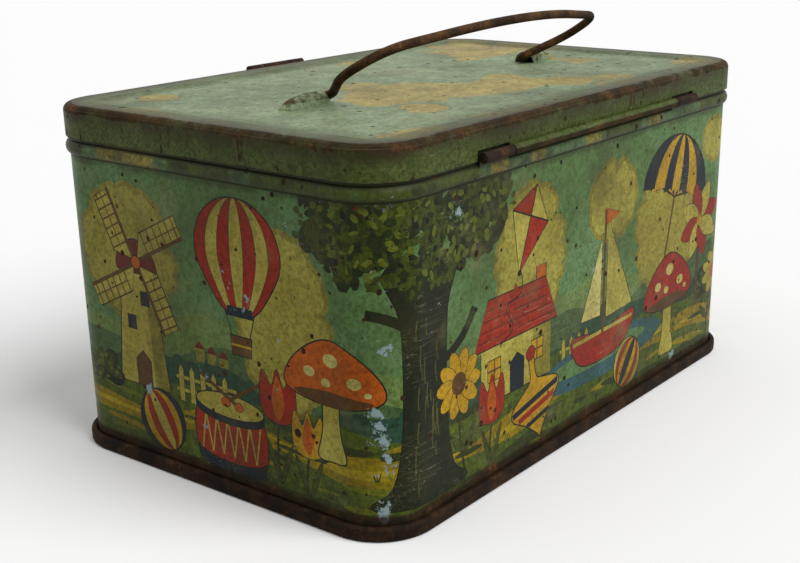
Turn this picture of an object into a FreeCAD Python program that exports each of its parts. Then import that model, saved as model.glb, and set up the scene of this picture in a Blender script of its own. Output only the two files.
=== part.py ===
"""Lidded tinplate picnic box: seamed body, hinged lid, wire bail and a hasp.

Millimetres. +Z is up, +X runs along the box, the hinge is on the +Y side and the
hasp on the -Y side. The origin is the centre of the box on the plane it stands on.
"""
import FreeCAD, Part
import math
import os

import Sketcher

os.makedirs("parts", exist_ok=True)

DRIVING_SIZES = {
    # body wall, measured on its outer face
    "body_length": 188.0,
    "body_width": 119.5,
    "corner_radius": 14.3,
    "sheet": 0.4,
    "sheet_gap": 0.1,
    # rolled bead below the lid
    "bead_gap": 0.8,
    "bead_half_height": 2.1,
    "bead_depth": 1.2,
    # hem folded inwards along the mouth of the body
    "mouth_clearance": 0.4,
    "hem_depth": 3.0,
    "hem_radius": 0.5,
    # folded seam down the hidden end wall
    "seam_width": 5.0,
    "seam_thickness": 0.8,
    "seam_foot": 5.0,
    "seam_gap": 0.7,
    # double seam round the bottom
    "rim_outset": 2.07,
    "rim_height": 4.0,
    "rim_round": 0.9,
    "rim_bend": 0.5,
    "fold_corner": 0.3,
    "body_hook_width": 1.17,
    "body_hook_top": 3.2,
    "pan_hook_outset": 0.35,
    "pan_hook_foot": 1.4,
    "pan_floor": 2.6,
    "pan_lap": 6.0,
    # lid
    "lid_height": 8.8,
    "lid_top": 100.0,
    "lid_outset": 0.94,
    "lid_round": 2.0,
    "panel_inset": 8.5,
    "panel_slope": 3.0,
    "panel_drop": 0.6,
    "panel_lap": 2.0,
    # lid hinge along the back
    "hinge_rise": 0.8,
    "hinge_pin_radius": 0.9,
    "hinge_fit": 0.06,
    "lid_curl_length": 88.0,
    "knuckle_gap": 0.5,
    "body_knuckle_length": 12.6,
    "pin_overhang": 0.3,
    "curl_mouth_angle": 40.0,
    "knuckle_root_rise": 1.0,
    "skirt_cut_rise": 2.7,
    "skirt_cut_gap": 0.9,
    # wire bail and the ears that hold it
    "wire_radius": 1.25,
    "wire_clearance": 0.25,
    "bail_offset": 3.0,
    "bail_lean": 60.0,
    "bail_foot": 47.6,
    "bail_end": 54.5,
    "bail_rise": 2.6,
    "bail_shoulder": 56.2,
    "bail_shoulder_height": 14.5,
    "bail_crown": 52.8,
    "bail_crown_height": 29.4,
    "bail_height": 40.4,
    "foot_bend": 1.9,
    "leg_bend": 2.0,
    "shoulder_bend": 12.0,
    "crown_bend": 12.0,
    "top_bend": 150.0,
    "ear_mouth": 50.5,
    "ear_flat": 3.5,
    "ear_tail": 12.5,
    # hasp on the front
    "hasp_axis_drop": 0.7,
    "hasp_pin_radius": 0.8,
    "hasp_fit": 0.05,
    "hasp_width": 25.0,
    "hasp_knuckle_width": 12.0,
    "hasp_knuckle_gap": 0.4,
    "hasp_drop": 20.5,
    "hasp_root": 2.0,
    "hasp_corner": 4.0,
    "finger_roll_radius": 0.9,
    "finger_roll_width": 15.0,
    "slot_half_length": 4.2,
    "slot_half_height": 3.2,
    "slot_corner": 1.6,
    "slot_margin": 0.5,
    "leaf_above_skirt": 1.8,
    "leaf_notch": 1.7,
    # rivets through the hasp leaf
    "rivet_spacing": 17.0,
    "rivet_above_skirt": 4.1,
    "rivet_radius": 0.9,
    "rivet_hole_gap": 0.05,
    "rivet_head_radius": 1.8,
    "rivet_head_height": 0.5,
    "rivet_foot_thickness": 0.25,
    # catch stud on the front wall
    "stud_shank_radius": 1.6,
    "stud_collar_radius": 2.8,
    "stud_collar_length": 0.5,
    "stud_neck_radius": 1.7,
    "stud_head_start": 1.8,
    "stud_head_radius": 2.3,
    "stud_reach": 2.6,
    "stud_peen_radius": 2.5,
    "stud_peen_length": 0.35,
}

LEFT, RIGHT = "left", "right"
POINT_START, POINT_END, POINT_CENTRE = range(1, 4)
VERTICAL_AXIS, HORIZONTAL_AXIS = range(-2, 0)
SKETCH_ORIGIN = HORIZONTAL_AXIS

doc = FreeCAD.newDocument("tin_box")
sheet = doc.addObject("Spreadsheet::Sheet", "Sizes")
for row, (alias, number) in enumerate(DRIVING_SIZES.items(), start=1):
    sheet.set("A%d" % row, alias)
    sheet.set("B%d" % row, str(number))
    sheet.setAlias("B%d" % row, alias)
doc.recompute()


class Size:
    """A measure that carries its value and the sheet formula it comes from."""

    def __init__(self, value, formula):
        self.value = float(value)
        self.formula = formula

    def join(self, other, sign, value):
        return Size(value, "(%s %s %s)" % (self.formula, sign, other.formula))

    def __add__(self, other):
        other = as_size(other)
        return self.join(other, "+", self.value + other.value)

    def __sub__(self, other):
        other = as_size(other)
        return self.join(other, "-", self.value - other.value)

    def __mul__(self, other):
        other = as_size(other)
        return self.join(other, "*", self.value * other.value)

    def __truediv__(self, other):
        other = as_size(other)
        return self.join(other, "/", self.value / other.value)

    def __neg__(self):
        return Size(-self.value, "(0 - %s)" % self.formula)


def as_size(number):
    if isinstance(number, Size):
        return number
    return Size(number, str(number))


def root(size):
    return Size(math.sqrt(size.value), "sqrt(%s)" % size.formula)


def sine(angle):
    return Size(math.sin(math.radians(angle.value)), "sin(%s * 1 deg)" % angle.formula)


def cosine(angle):
    return Size(math.cos(math.radians(angle.value)), "cos(%s * 1 deg)" % angle.formula)


def named(alias):
    return Size(sheet.get(alias), "Sizes." + alias)


def bind(target, name, size):
    """Set a property from a size and tie it to the sheet."""
    size = as_size(size)
    setattr(target, name, size.value)
    target.setExpression(name, size.formula)


# ---------------------------------------------------------------- derived sizes
SHEET = named("sheet")
GAP = named("sheet_gap")
HALF_LENGTH = named("body_length") / 2
HALF_WIDTH = named("body_width") / 2
LID_OUTSET = named("lid_outset")
LID_TOP = named("lid_top")
LID_BOTTOM = LID_TOP - named("lid_height")
MOUTH_TOP = LID_TOP - SHEET - named("mouth_clearance")
BEAD_MIDDLE = LID_BOTTOM - named("bead_gap") - named("bead_half_height")
SEAM_HEAD = BEAD_MIDDLE - named("bead_half_height") - named("seam_gap")
LEAF_FOOT = LID_BOTTOM + named("leaf_above_skirt")
SKIRT_CUT_Z = LID_BOTTOM + named("skirt_cut_rise")
RIVET_Z = LID_BOTTOM + named("rivet_above_skirt")
PANEL_TOP = LID_TOP - named("panel_drop")
PANEL_UNDERSIDE = PANEL_TOP - SHEET
PANEL_OUTSET = LID_OUTSET - named("panel_inset") - named("panel_slope")
HINGE_BORE = named("hinge_pin_radius") + named("hinge_fit")
HINGE_ROLL = HINGE_BORE + SHEET
HINGE_OUT = LID_OUTSET + HINGE_BORE
HINGE_Z = LID_BOTTOM + named("hinge_rise")
KNUCKLE_START = named("lid_curl_length") / 2 + named("knuckle_gap")
BAIL_Z = PANEL_TOP + named("wire_radius") + named("wire_clearance")
EAR_BORE = BAIL_Z + named("wire_radius") + named("wire_clearance") - PANEL_UNDERSIDE
HASP_BORE = named("hasp_pin_radius") + named("hasp_fit")
HASP_ROLL = HASP_BORE + SHEET
HASP_OUT = LID_OUTSET + SHEET + HASP_BORE
HASP_Z = LID_TOP - named("hasp_axis_drop")
HASP_INNER_FACE = HASP_OUT + HASP_BORE
HASP_FOOT = HASP_Z - named("hasp_drop")
STUD_Z = HASP_FOOT + named("slot_margin") + named("slot_half_height")
HALF_RIVET_SPACING = named("rivet_spacing") / 2
RIVET_HOLE = named("rivet_radius") + named("rivet_hole_gap")


# ------------------------------------------------------------- drawing helpers
class Outline:
    """A chain of lines and arcs whose corners are tied to the sheet."""

    def __init__(self, sketch, x, y):
        self.sketch = sketch
        self.first = (as_size(x), as_size(y))
        self.here = self.first
        self.shapes = []
        self.ends = []
        self.radii = []
        self.ellipses = []
        self.corners = [self.first]

    def line_to(self, x, y):
        there = (as_size(x), as_size(y))
        self.shapes.append(Part.LineSegment(flat(self.here), flat(there)))
        self.ends.append((POINT_START, POINT_END))
        self.radii.append(None)
        return self.move(there)

    def arc_to(self, x, y, radius, turn):
        """Add an arc of less than half a turn, bending LEFT or RIGHT."""
        there = (as_size(x), as_size(y))
        start = flat(self.here)
        end = flat(there)
        radius = as_size(radius)
        centre = arc_centre(start, end, radius.value, turn)
        first, last = (start, end) if turn == LEFT else (end, start)
        circle = Part.Circle(centre, FreeCAD.Vector(0, 0, 1), radius.value)
        self.shapes.append(Part.ArcOfCircle(circle, bearing(centre, first), bearing(centre, last)))
        self.ends.append((POINT_START, POINT_END) if turn == LEFT else (POINT_END, POINT_START))
        self.radii.append(radius)
        return self.move(there)

    def quarter_ellipse_down(self, x, half_length, height, side):
        """Fall from the crest of an ellipse centred at (x, 0) to its end on the axis."""
        there = (x + half_length * side, as_size(0))
        centre = FreeCAD.Vector(x.value, 0, 0)
        ellipse = Part.Ellipse(centre, half_length.value, height.value)
        quarter = math.pi / 2
        first = 0 if side > 0 else quarter
        self.shapes.append(Part.ArcOfEllipse(ellipse, first, first + quarter))
        self.ends.append((POINT_END, POINT_START) if side > 0 else (POINT_START, POINT_END))
        self.radii.append(None)
        self.ellipses.append((len(self.shapes) - 1, x))
        return self.move(there)

    def move(self, there):
        self.here = there
        self.corners.append(there)
        return self

    def close(self):
        self.line_to(*self.first)
        return self.finish(True)

    def finish(self, closed):
        """Write the chain and its constraints into the sketch."""
        self.sketch.addGeometry(self.shapes, False)
        count = len(self.shapes)
        joints = count if closed else count - 1
        for index in range(joints):
            following = (index + 1) % count
            joint = ("Coincident", index, self.ends[index][1], following, self.ends[following][0])
            self.sketch.addConstraint(Sketcher.Constraint(*joint))
        for index in range(count):
            self.pin(index, self.ends[index][0], self.corners[index])
            if self.radii[index] is not None:
                self.hold(("Radius", index), self.radii[index])
        if not closed:
            self.pin(count - 1, self.ends[-1][1], self.corners[-1])
        for index, x in self.ellipses:
            self.pin(index, POINT_CENTRE, (x, as_size(0)))
            major_axis = len(self.sketch.Geometry)
            self.sketch.exposeInternalGeometry(index)
            self.sketch.addConstraint(Sketcher.Constraint("Horizontal", major_axis))
        return self.sketch

    def pin(self, shape, point, corner):
        self.pin_along("DistanceX", VERTICAL_AXIS, shape, point, corner[0])
        self.pin_along("DistanceY", HORIZONTAL_AXIS, shape, point, corner[1])

    def pin_along(self, kind, axis, shape, point, size):
        if size.value == 0:
            on_axis = Sketcher.Constraint("PointOnObject", shape, point, axis)
            self.sketch.addConstraint(on_axis)
        elif size.value > 0:
            self.hold((kind, SKETCH_ORIGIN, POINT_START, shape, point), size)
        else:
            self.hold((kind, shape, point, SKETCH_ORIGIN, POINT_START), -size)

    def hold(self, constraint, size):
        index = self.sketch.addConstraint(Sketcher.Constraint(*constraint, size.value))
        self.sketch.setExpression("Constraints[%d]" % index, size.formula)


def flat(corner):
    return FreeCAD.Vector(corner[0].value, corner[1].value, 0)


def arc_centre(start, end, radius, turn):
    chord = end - start
    reach = math.sqrt(max(radius ** 2 - chord.Length ** 2 / 4, 0))
    side = FreeCAD.Vector(-chord.y, chord.x, 0) / chord.Length
    return (start + end) / 2 + side * (reach if turn == LEFT else -reach)


def bearing(centre, point):
    return math.atan2(point.y - centre.y, point.x - centre.x)


def new_body(label):
    body = doc.addObject("PartDesign::Body", label)
    body.Label = label
    return body


def sketch_on(body, role, name, offset=None, rise=None):
    """A sketch on an origin plane, moved along its normal and up its own Y."""
    sketch = body.newObject("Sketcher::SketchObject", name)
    plane = [item for item in body.Origin.OriginFeatures if item.Role == role][0]
    sketch.AttachmentSupport = [(plane, "")]
    sketch.MapMode = "FlatFace"
    if offset is not None:
        sketch.setExpression(".AttachmentOffset.Base.z", offset.formula)
    if rise is not None:
        sketch.setExpression(".AttachmentOffset.Base.y", rise.formula)
    return sketch


def draw_circle(sketch, x, y, radius):
    """A circle whose centre and radius are tied to the sheet."""
    x = as_size(x)
    y = as_size(y)
    outline = Outline(sketch, x, y)
    centre = flat((x, y))
    index = sketch.addGeometry(Part.Circle(centre, FreeCAD.Vector(0, 0, 1), radius.value), False)
    outline.pin(index, POINT_CENTRE, (x, y))
    outline.hold(("Radius", index), radius)
    return sketch


def rounded_rectangle(sketch, outset):
    """The box's plan outline moved out by outset, starting at the middle of the back."""
    x = HALF_LENGTH + outset
    y = HALF_WIDTH + outset
    radius = named("corner_radius") + outset
    outline = Outline(sketch, 0, y)
    outline.line_to(-(x - radius), y)
    outline.arc_to(-x, y - radius, radius, LEFT)
    outline.line_to(-x, -(y - radius))
    outline.arc_to(-(x - radius), -y, radius, LEFT)
    outline.line_to(x - radius, -y)
    outline.arc_to(x, -(y - radius), radius, LEFT)
    outline.line_to(x, y - radius)
    outline.arc_to(x - radius, y, radius, LEFT)
    return outline.close()


def block(sketch, x0, y0, x1, y1):
    outline = Outline(sketch, x0, y0)
    outline.line_to(x1, y0)
    outline.line_to(x1, y1)
    outline.line_to(x0, y1)
    return outline.close()


def sweep_round_box(body, profile):
    """Carry a section at the middle of the back once round the box."""
    path = rounded_rectangle(sketch_on(body, "XY_Plane", "path"), as_size(0))
    ring = body.newObject("PartDesign::AdditivePipe", "ring")
    ring.Profile = profile
    ring.Spine = (path, [])
    doc.recompute()
    return ring


def pad(body, sketch, length, symmetric=False, reverse=False):
    feature = body.newObject("PartDesign::Pad", "pad")
    feature.Profile = sketch
    bind(feature, "Length", length)
    feature.SideType = "Symmetric" if symmetric else "One side"
    feature.Reversed = reverse
    doc.recompute()
    return feature


def cut_through(body, sketch, reverse=False):
    """Pocket all the way from the sketch plane, and prove that it cut."""
    before = body.Shape.Volume
    feature = body.newObject("PartDesign::Pocket", "cut")
    feature.Profile = sketch
    feature.Type = "ThroughAll"
    feature.Reversed = reverse
    doc.recompute()
    if not body.Shape.Volume < before:
        raise RuntimeError("%s: the cut from %s removed nothing" % (body.Label, sketch.Name))
    return feature


def at_back(out, z):
    """Section point on the back wall, out millimetres beyond its outer face."""
    return (HALF_WIDTH + out, as_size(z))


def at_front(out, z):
    return (-(HALF_WIDTH + out), as_size(z))


# ------------------------------------------------------------------- body wall
def wall_section(sketch):
    """Seam hook, wall, bead and inward hem as one strip of sheet."""
    corner = named("fold_corner")
    hook_in = named("body_hook_width")
    hook_out = hook_in + SHEET
    hook_top = named("body_hook_top")
    foot = SHEET + GAP
    depth = named("bead_depth")
    half = named("bead_half_height")
    middle = BEAD_MIDDLE
    bead_radius = (half * half + depth * depth) / (depth * 2)
    inner_radius = bead_radius - SHEET
    inner_reach = bead_radius - depth - SHEET
    inner_half = root(inner_radius * inner_radius - inner_reach * inner_reach)
    hem = named("hem_radius")
    top = MOUTH_TOP
    hem_foot = top - named("hem_depth")
    hem_out = -hem * 2
    outline = Outline(sketch, *at_back(hook_in, hook_top))
    outline.line_to(*at_back(hook_in, foot + SHEET))
    outline.line_to(*at_back(0, foot + SHEET))
    outline.line_to(*at_back(0, middle - half))
    outline.arc_to(*at_back(0, middle + half), bead_radius, LEFT)
    outline.line_to(*at_back(0, top - hem))
    outline.arc_to(*at_back(-hem, top), hem, LEFT)
    outline.arc_to(*at_back(hem_out, top - hem), hem, LEFT)
    outline.line_to(*at_back(hem_out, hem_foot))
    outline.line_to(*at_back(hem_out + SHEET, hem_foot))
    outline.line_to(*at_back(hem_out + SHEET, top - hem))
    outline.line_to(*at_back(-SHEET, top - hem))
    outline.line_to(*at_back(-SHEET, middle + inner_half))
    outline.arc_to(*at_back(-SHEET, middle - inner_half), inner_radius, RIGHT)
    outline.line_to(*at_back(-SHEET, foot))
    outline.line_to(*at_back(hook_out - corner, foot))
    outline.line_to(*at_back(hook_out, foot + corner))
    outline.line_to(*at_back(hook_out, hook_top))
    return outline.close()


def body_knuckle_section(sketch):
    """A tab that rises out of the bead and rolls over the hinge pin from above."""
    angle = named("curl_mouth_angle")
    mid = HINGE_OUT
    z = HINGE_Z
    outer = HINGE_ROLL
    inner = HINGE_BORE
    root_z = BEAD_MIDDLE + named("knuckle_root_rise")
    outline = Outline(sketch, *at_back(mid - inner, root_z))
    outline.line_to(*at_back(mid - inner, z))
    outline.arc_to(*at_back(mid, z + inner), inner, RIGHT)
    outline.arc_to(*at_back(mid + inner, z), inner, RIGHT)
    outline.arc_to(*at_back(mid, z - inner), inner, RIGHT)
    outline.arc_to(*at_back(mid - inner * sine(angle), z - inner * cosine(angle)), inner, RIGHT)
    outline.line_to(*at_back(mid - outer * sine(angle), z - outer * cosine(angle)))
    outline.arc_to(*at_back(mid, z - outer), outer, LEFT)
    outline.arc_to(*at_back(mid + outer, z), outer, LEFT)
    outline.arc_to(*at_back(mid, z + outer), outer, LEFT)
    outline.arc_to(*at_back(mid - outer, z), outer, LEFT)
    outline.line_to(*at_back(mid - outer, root_z))
    return outline.close()


def make_body_wall():
    body = new_body("body_wall")
    sweep_round_box(body, wall_section(sketch_on(body, "YZ_Plane", "section")))
    for side in (1, -1):
        near = KNUCKLE_START * side
        tab = sketch_on(body, "YZ_Plane", "knuckle", offset=near)
        pad(body, body_knuckle_section(tab), named("body_knuckle_length"), reverse=side < 0)
    seam = sketch_on(body, "XY_Plane", "lock_seam", offset=named("seam_foot"))
    inside = HALF_LENGTH - SHEET
    half_seam = named("seam_width") / 2
    block(seam, -(inside + SHEET / 2), -half_seam, -(inside - named("seam_thickness")), half_seam)
    pad(body, seam, SEAM_HEAD - named("seam_foot"))
    hole = sketch_on(body, "XZ_Plane", "stud_hole")
    draw_circle(hole, 0, STUD_Z, named("stud_shank_radius") + named("rivet_hole_gap"))
    cut_through(body, hole, reverse=True)
    return body


# ------------------------------------------------------------------ bottom pan
def pan_section(sketch):
    """Countersunk pan edge, turned down, out and up, then hooked over the body."""
    big = named("rim_round")
    small = named("rim_bend")
    corner = named("fold_corner")
    rim = named("rim_outset")
    inside = rim - SHEET
    top = named("rim_height")
    floor = named("pan_floor")
    chuck_out = -(SHEET + GAP)
    chuck_in = chuck_out - SHEET
    hook_in = named("pan_hook_outset")
    hook_out = hook_in + SHEET
    lap = -named("pan_lap")
    outline = Outline(sketch, *at_back(lap, floor))
    outline.line_to(*at_back(chuck_in - small, floor))
    outline.arc_to(*at_back(chuck_in, floor - small), small, RIGHT)
    outline.line_to(*at_back(chuck_in, small))
    outline.arc_to(*at_back(chuck_in + small, 0), small, LEFT)
    outline.line_to(*at_back(rim - big, 0))
    outline.arc_to(*at_back(rim, big), big, LEFT)
    outline.line_to(*at_back(rim, top - big))
    outline.arc_to(*at_back(rim - big, top), big, LEFT)
    outline.line_to(*at_back(hook_in + small, top))
    outline.arc_to(*at_back(hook_in, top - small), small, LEFT)
    outline.line_to(*at_back(hook_in, named("pan_hook_foot")))
    outline.line_to(*at_back(hook_out, named("pan_hook_foot")))
    outline.line_to(*at_back(hook_out, top - SHEET))
    outline.line_to(*at_back(inside - corner, top - SHEET))
    outline.line_to(*at_back(inside, top - SHEET - corner))
    outline.line_to(*at_back(inside, SHEET + corner))
    outline.line_to(*at_back(inside - corner, SHEET))
    outline.line_to(*at_back(chuck_out, SHEET))
    outline.line_to(*at_back(chuck_out, floor + SHEET - small))
    outline.arc_to(*at_back(chuck_out - small, floor + SHEET), small, LEFT)
    outline.line_to(*at_back(lap, floor + SHEET))
    return outline.close()


def make_bottom_pan():
    body = new_body("bottom_pan")
    sweep_round_box(body, pan_section(sketch_on(body, "YZ_Plane", "section")))
    panel = sketch_on(body, "XY_Plane", "panel", offset=named("pan_floor"))
    rounded_rectangle(panel, -(named("pan_lap") - named("panel_lap")))
    pad(body, panel, SHEET)
    return body


# ------------------------------------------------------------------------- lid
def lid_section(sketch):
    """Skirt, rounded edge, raised border and the step down to the panel."""
    big = named("lid_round")
    small = big - SHEET
    outer = LID_OUTSET
    inner = outer - SHEET
    step = outer - named("panel_inset")
    lap = PANEL_OUTSET - named("panel_lap")
    outline = Outline(sketch, *at_back(outer, LID_BOTTOM))
    outline.line_to(*at_back(outer, LID_TOP - big))
    outline.arc_to(*at_back(outer - big, LID_TOP), big, LEFT)
    outline.line_to(*at_back(step, LID_TOP))
    outline.line_to(*at_back(PANEL_OUTSET, PANEL_TOP))
    outline.line_to(*at_back(lap, PANEL_TOP))
    outline.line_to(*at_back(lap, PANEL_UNDERSIDE))
    outline.line_to(*at_back(PANEL_OUTSET + GAP, PANEL_UNDERSIDE))
    outline.line_to(*at_back(step + GAP, LID_TOP - SHEET))
    outline.line_to(*at_back(outer - big, LID_TOP - SHEET))
    outline.arc_to(*at_back(inner, LID_TOP - big), small, RIGHT)
    outline.line_to(*at_back(inner, LID_BOTTOM))
    return outline.close()


def lid_curl_section(sketch):
    """The skirt's lower edge rolled under and round the hinge pin."""
    angle = named("curl_mouth_angle")
    mid = HINGE_OUT
    z = HINGE_Z
    outer = HINGE_ROLL
    inner = HINGE_BORE
    head = SKIRT_CUT_Z + SHEET
    outline = Outline(sketch, *at_back(mid - outer, head))
    outline.line_to(*at_back(mid - outer, z))
    outline.arc_to(*at_back(mid, z - outer), outer, LEFT)
    outline.arc_to(*at_back(mid + outer, z), outer, LEFT)
    outline.arc_to(*at_back(mid, z + outer), outer, LEFT)
    outline.arc_to(*at_back(mid - outer * sine(angle), z + outer * cosine(angle)), outer, LEFT)
    outline.line_to(*at_back(mid - inner * sine(angle), z + inner * cosine(angle)))
    outline.arc_to(*at_back(mid, z + inner), inner, RIGHT)
    outline.arc_to(*at_back(mid + inner, z), inner, RIGHT)
    outline.arc_to(*at_back(mid, z - inner), inner, RIGHT)
    outline.arc_to(*at_back(mid - inner, z), inner, RIGHT)
    outline.line_to(*at_back(mid - inner, head))
    return outline.close()


def ear_half_section(sketch, side, radius, tail):
    """Half of a pressed ear: a level barrel at the mouth and an elliptical tail."""
    mouth = named("ear_mouth")
    level = mouth + named("ear_flat")
    outline = Outline(sketch, mouth * side, 0)
    outline.line_to(mouth * side, radius)
    outline.line_to(level * side, radius)
    outline.quarter_ellipse_down(level * side, tail, radius, side)
    return outline.close()


def revolve(body, kind, sketch, angle):
    feature = body.newObject("PartDesign::" + kind, kind.lower())
    feature.Profile = sketch
    feature.ReferenceAxis = (sketch, ["H_Axis"])
    feature.Angle = angle
    feature.Midplane = True
    doc.recompute()
    return feature


def press_ear(body, side):
    """Raise a half-round ear out of the panel, open towards the middle."""
    behind = -named("bail_offset")
    shell = sketch_on(body, "XZ_Plane", "ear", offset=behind, rise=PANEL_UNDERSIDE)
    tail = named("ear_tail")
    revolve(body, "Revolution", ear_half_section(shell, side, EAR_BORE + SHEET, tail), 180)
    hollow = sketch_on(body, "XZ_Plane", "ear_hollow", offset=behind, rise=PANEL_UNDERSIDE)
    revolve(body, "Groove", ear_half_section(hollow, side, EAR_BORE, tail - SHEET), 180)


def draw_rivet_holes(sketch):
    draw_circle(sketch, HALF_RIVET_SPACING, RIVET_Z, RIVET_HOLE)
    draw_circle(sketch, -HALF_RIVET_SPACING, RIVET_Z, RIVET_HOLE)
    return sketch


def make_lid_shell():
    body = new_body("lid_shell")
    sweep_round_box(body, lid_section(sketch_on(body, "YZ_Plane", "section")))
    panel = sketch_on(body, "XY_Plane", "panel", offset=PANEL_UNDERSIDE)
    rounded_rectangle(panel, PANEL_OUTSET - named("panel_lap") / 2)
    pad(body, panel, SHEET)
    reach = KNUCKLE_START + named("body_knuckle_length") + named("skirt_cut_gap")
    relief = sketch_on(body, "XZ_Plane", "skirt_relief")
    block(relief, -reach, LID_BOTTOM - SHEET, reach, SKIRT_CUT_Z)
    cut_through(body, relief)
    curl = lid_curl_section(sketch_on(body, "YZ_Plane", "hinge_curl"))
    pad(body, curl, named("lid_curl_length"), symmetric=True)
    for side in (1, -1):
        press_ear(body, side)
    holes = draw_rivet_holes(sketch_on(body, "XZ_Plane", "rivet_holes"))
    cut_through(body, holes, reverse=True)
    return body


# ------------------------------------------------------------------------ pins
def make_pin(label, radius, length, y, z):
    """A plain wire pin lying along X."""
    pin = doc.addObject("Part::Cylinder", label)
    pin.Label = label
    bind(pin, "Radius", radius)
    bind(pin, "Height", length)
    along_x = FreeCAD.Rotation(FreeCAD.Vector(0, 1, 0), 90)
    pin.Placement = FreeCAD.Placement(FreeCAD.Vector(), along_x)
    pin.setExpression(".Placement.Base.x", (-length / 2).formula)
    pin.setExpression(".Placement.Base.y", y.formula)
    pin.setExpression(".Placement.Base.z", z.formula)
    return pin


# ------------------------------------------------------------------- wire bail
def corner_arc(outline, before, corner, after, radius):
    """Round one corner of a straight-run route with a tangent arc."""
    into = unit(corner, before)
    out = unit(corner, after)
    opening = into[0] * out[0] + into[1] * out[1]
    setback = radius * root((opening + 1) / (as_size(1) - opening))
    start = (corner[0] + into[0] * setback, corner[1] + into[1] * setback)
    end = (corner[0] + out[0] * setback, corner[1] + out[1] * setback)
    turn = out[0].value * into[1].value - out[1].value * into[0].value
    outline.line_to(*start)
    outline.arc_to(*end, radius, LEFT if turn > 0 else RIGHT)


def unit(origin, target):
    """Direction from origin to target, as a pair of sizes of unit length."""
    x = target[0] - origin[0]
    y = target[1] - origin[1]
    length = root(x * x + y * y)
    return (x / length, y / length)


def bail_route(sketch):
    """Turned-out foot, splayed leg, rounded shoulder and a shallow arched grip."""
    zero = as_size(0)
    half = [
        (named("bail_end"), zero),
        (named("bail_foot"), zero),
        (named("bail_foot"), named("bail_rise")),
        (named("bail_shoulder"), named("bail_shoulder_height")),
        (named("bail_crown"), named("bail_crown_height")),
    ]
    bends = [named("foot_bend"), named("leg_bend"), named("shoulder_bend"), named("crown_bend")]
    other = [(-x, y) for x, y in reversed(half)]
    route = half + [(zero, named("bail_height"))] + other
    radii = bends + [named("top_bend")] + bends[::-1]
    outline = Outline(sketch, *route[0])
    for index, radius in enumerate(radii, start=1):
        corner_arc(outline, route[index - 1], route[index], route[index + 1], radius)
    outline.line_to(*route[-1])
    return outline.finish(False)


def make_bail():
    body = new_body("carry_handle")
    path = bail_route(sketch_on(body, "XZ_Plane", "route"))
    wire = sketch_on(body, "YZ_Plane", "wire", offset=named("bail_end"))
    draw_circle(wire, 0, 0, named("wire_radius"))
    pipe = body.newObject("PartDesign::AdditivePipe", "bent_wire")
    pipe.Profile = wire
    pipe.Spine = (path, [])
    lean = FreeCAD.Rotation(FreeCAD.Vector(-1, 0, 0), named("bail_lean").value)
    body.Placement = FreeCAD.Placement(FreeCAD.Vector(), lean)
    body.setExpression(".Placement.Rotation.Angle", named("bail_lean").formula)
    body.setExpression(".Placement.Base.y", named("bail_offset").formula)
    body.setExpression(".Placement.Base.z", BAIL_Z.formula)
    doc.recompute()
    return body


# ------------------------------------------------------------------------ hasp
def hasp_roll_section(sketch, sheet_side, foot):
    """Sheet that rises to the hasp pin and rolls over it.

    sheet_side is -1 when the sheet rises on the lid's side of the pin and 1 when
    it hangs on the outer side.
    """
    angle = named("curl_mouth_angle")
    inner = HASP_BORE
    outer = HASP_ROLL
    z = HASP_Z
    over, under = (LEFT, RIGHT) if sheet_side < 0 else (RIGHT, LEFT)
    centre = as_size(0)

    def at(along, height):
        return at_front(HASP_OUT + along * sheet_side, height)

    outline = Outline(sketch, *at(outer, foot))
    outline.line_to(*at(outer, z))
    outline.arc_to(*at(centre, z + outer), outer, over)
    outline.arc_to(*at(-outer, z), outer, over)
    outline.arc_to(*at(centre, z - outer), outer, over)
    outline.arc_to(*at(outer * sine(angle), z - outer * cosine(angle)), outer, over)
    outline.line_to(*at(inner * sine(angle), z - inner * cosine(angle)))
    outline.arc_to(*at(centre, z - inner), inner, under)
    outline.arc_to(*at(-inner, z), inner, under)
    outline.arc_to(*at(centre, z + inner), inner, under)
    outline.arc_to(*at(inner, z), inner, under)
    outline.line_to(*at(inner, foot))
    return outline.close()


def make_hasp_leaf():
    """Fixed half of the hasp hinge, riveted to the front skirt of the lid."""
    body = new_body("hasp_leaf")
    roll = hasp_roll_section(sketch_on(body, "YZ_Plane", "roll"), -1, LEAF_FOOT)
    pad(body, roll, named("hasp_width"), symmetric=True)
    half_notch = named("hasp_knuckle_width") / 2 + named("hasp_knuckle_gap")
    notch = sketch_on(body, "XZ_Plane", "knuckle_notch")
    below = HASP_Z - named("leaf_notch")
    block(notch, -half_notch, below, half_notch, HASP_Z + HASP_ROLL + SHEET)
    cut_through(body, notch, reverse=True)
    holes = draw_rivet_holes(sketch_on(body, "XZ_Plane", "rivet_holes"))
    cut_through(body, holes, reverse=True)
    return body


def tongue_outline(sketch):
    """The flat tongue with rounded lower corners."""
    half = named("hasp_width") / 2
    corner = named("hasp_corner")
    top = HASP_Z - named("hasp_root")
    bottom = HASP_FOOT
    outline = Outline(sketch, half, top)
    outline.line_to(-half, top)
    outline.line_to(-half, bottom + corner)
    outline.arc_to(-(half - corner), bottom, corner, LEFT)
    outline.line_to(half - corner, bottom)
    outline.arc_to(half, bottom + corner, corner, LEFT)
    return outline.close()


def slot_outline(sketch):
    half = named("slot_half_length")
    height = named("slot_half_height")
    corner = named("slot_corner")
    z = STUD_Z
    outline = Outline(sketch, half - corner, z + height)
    outline.line_to(-(half - corner), z + height)
    outline.arc_to(-half, z + height - corner, corner, LEFT)
    outline.line_to(-half, z - height + corner)
    outline.arc_to(-(half - corner), z - height, corner, LEFT)
    outline.line_to(half - corner, z - height)
    outline.arc_to(half, z - height + corner, corner, LEFT)
    outline.line_to(half, z + height - corner)
    outline.arc_to(half - corner, z + height, corner, LEFT)
    return outline.finish(True)


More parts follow.
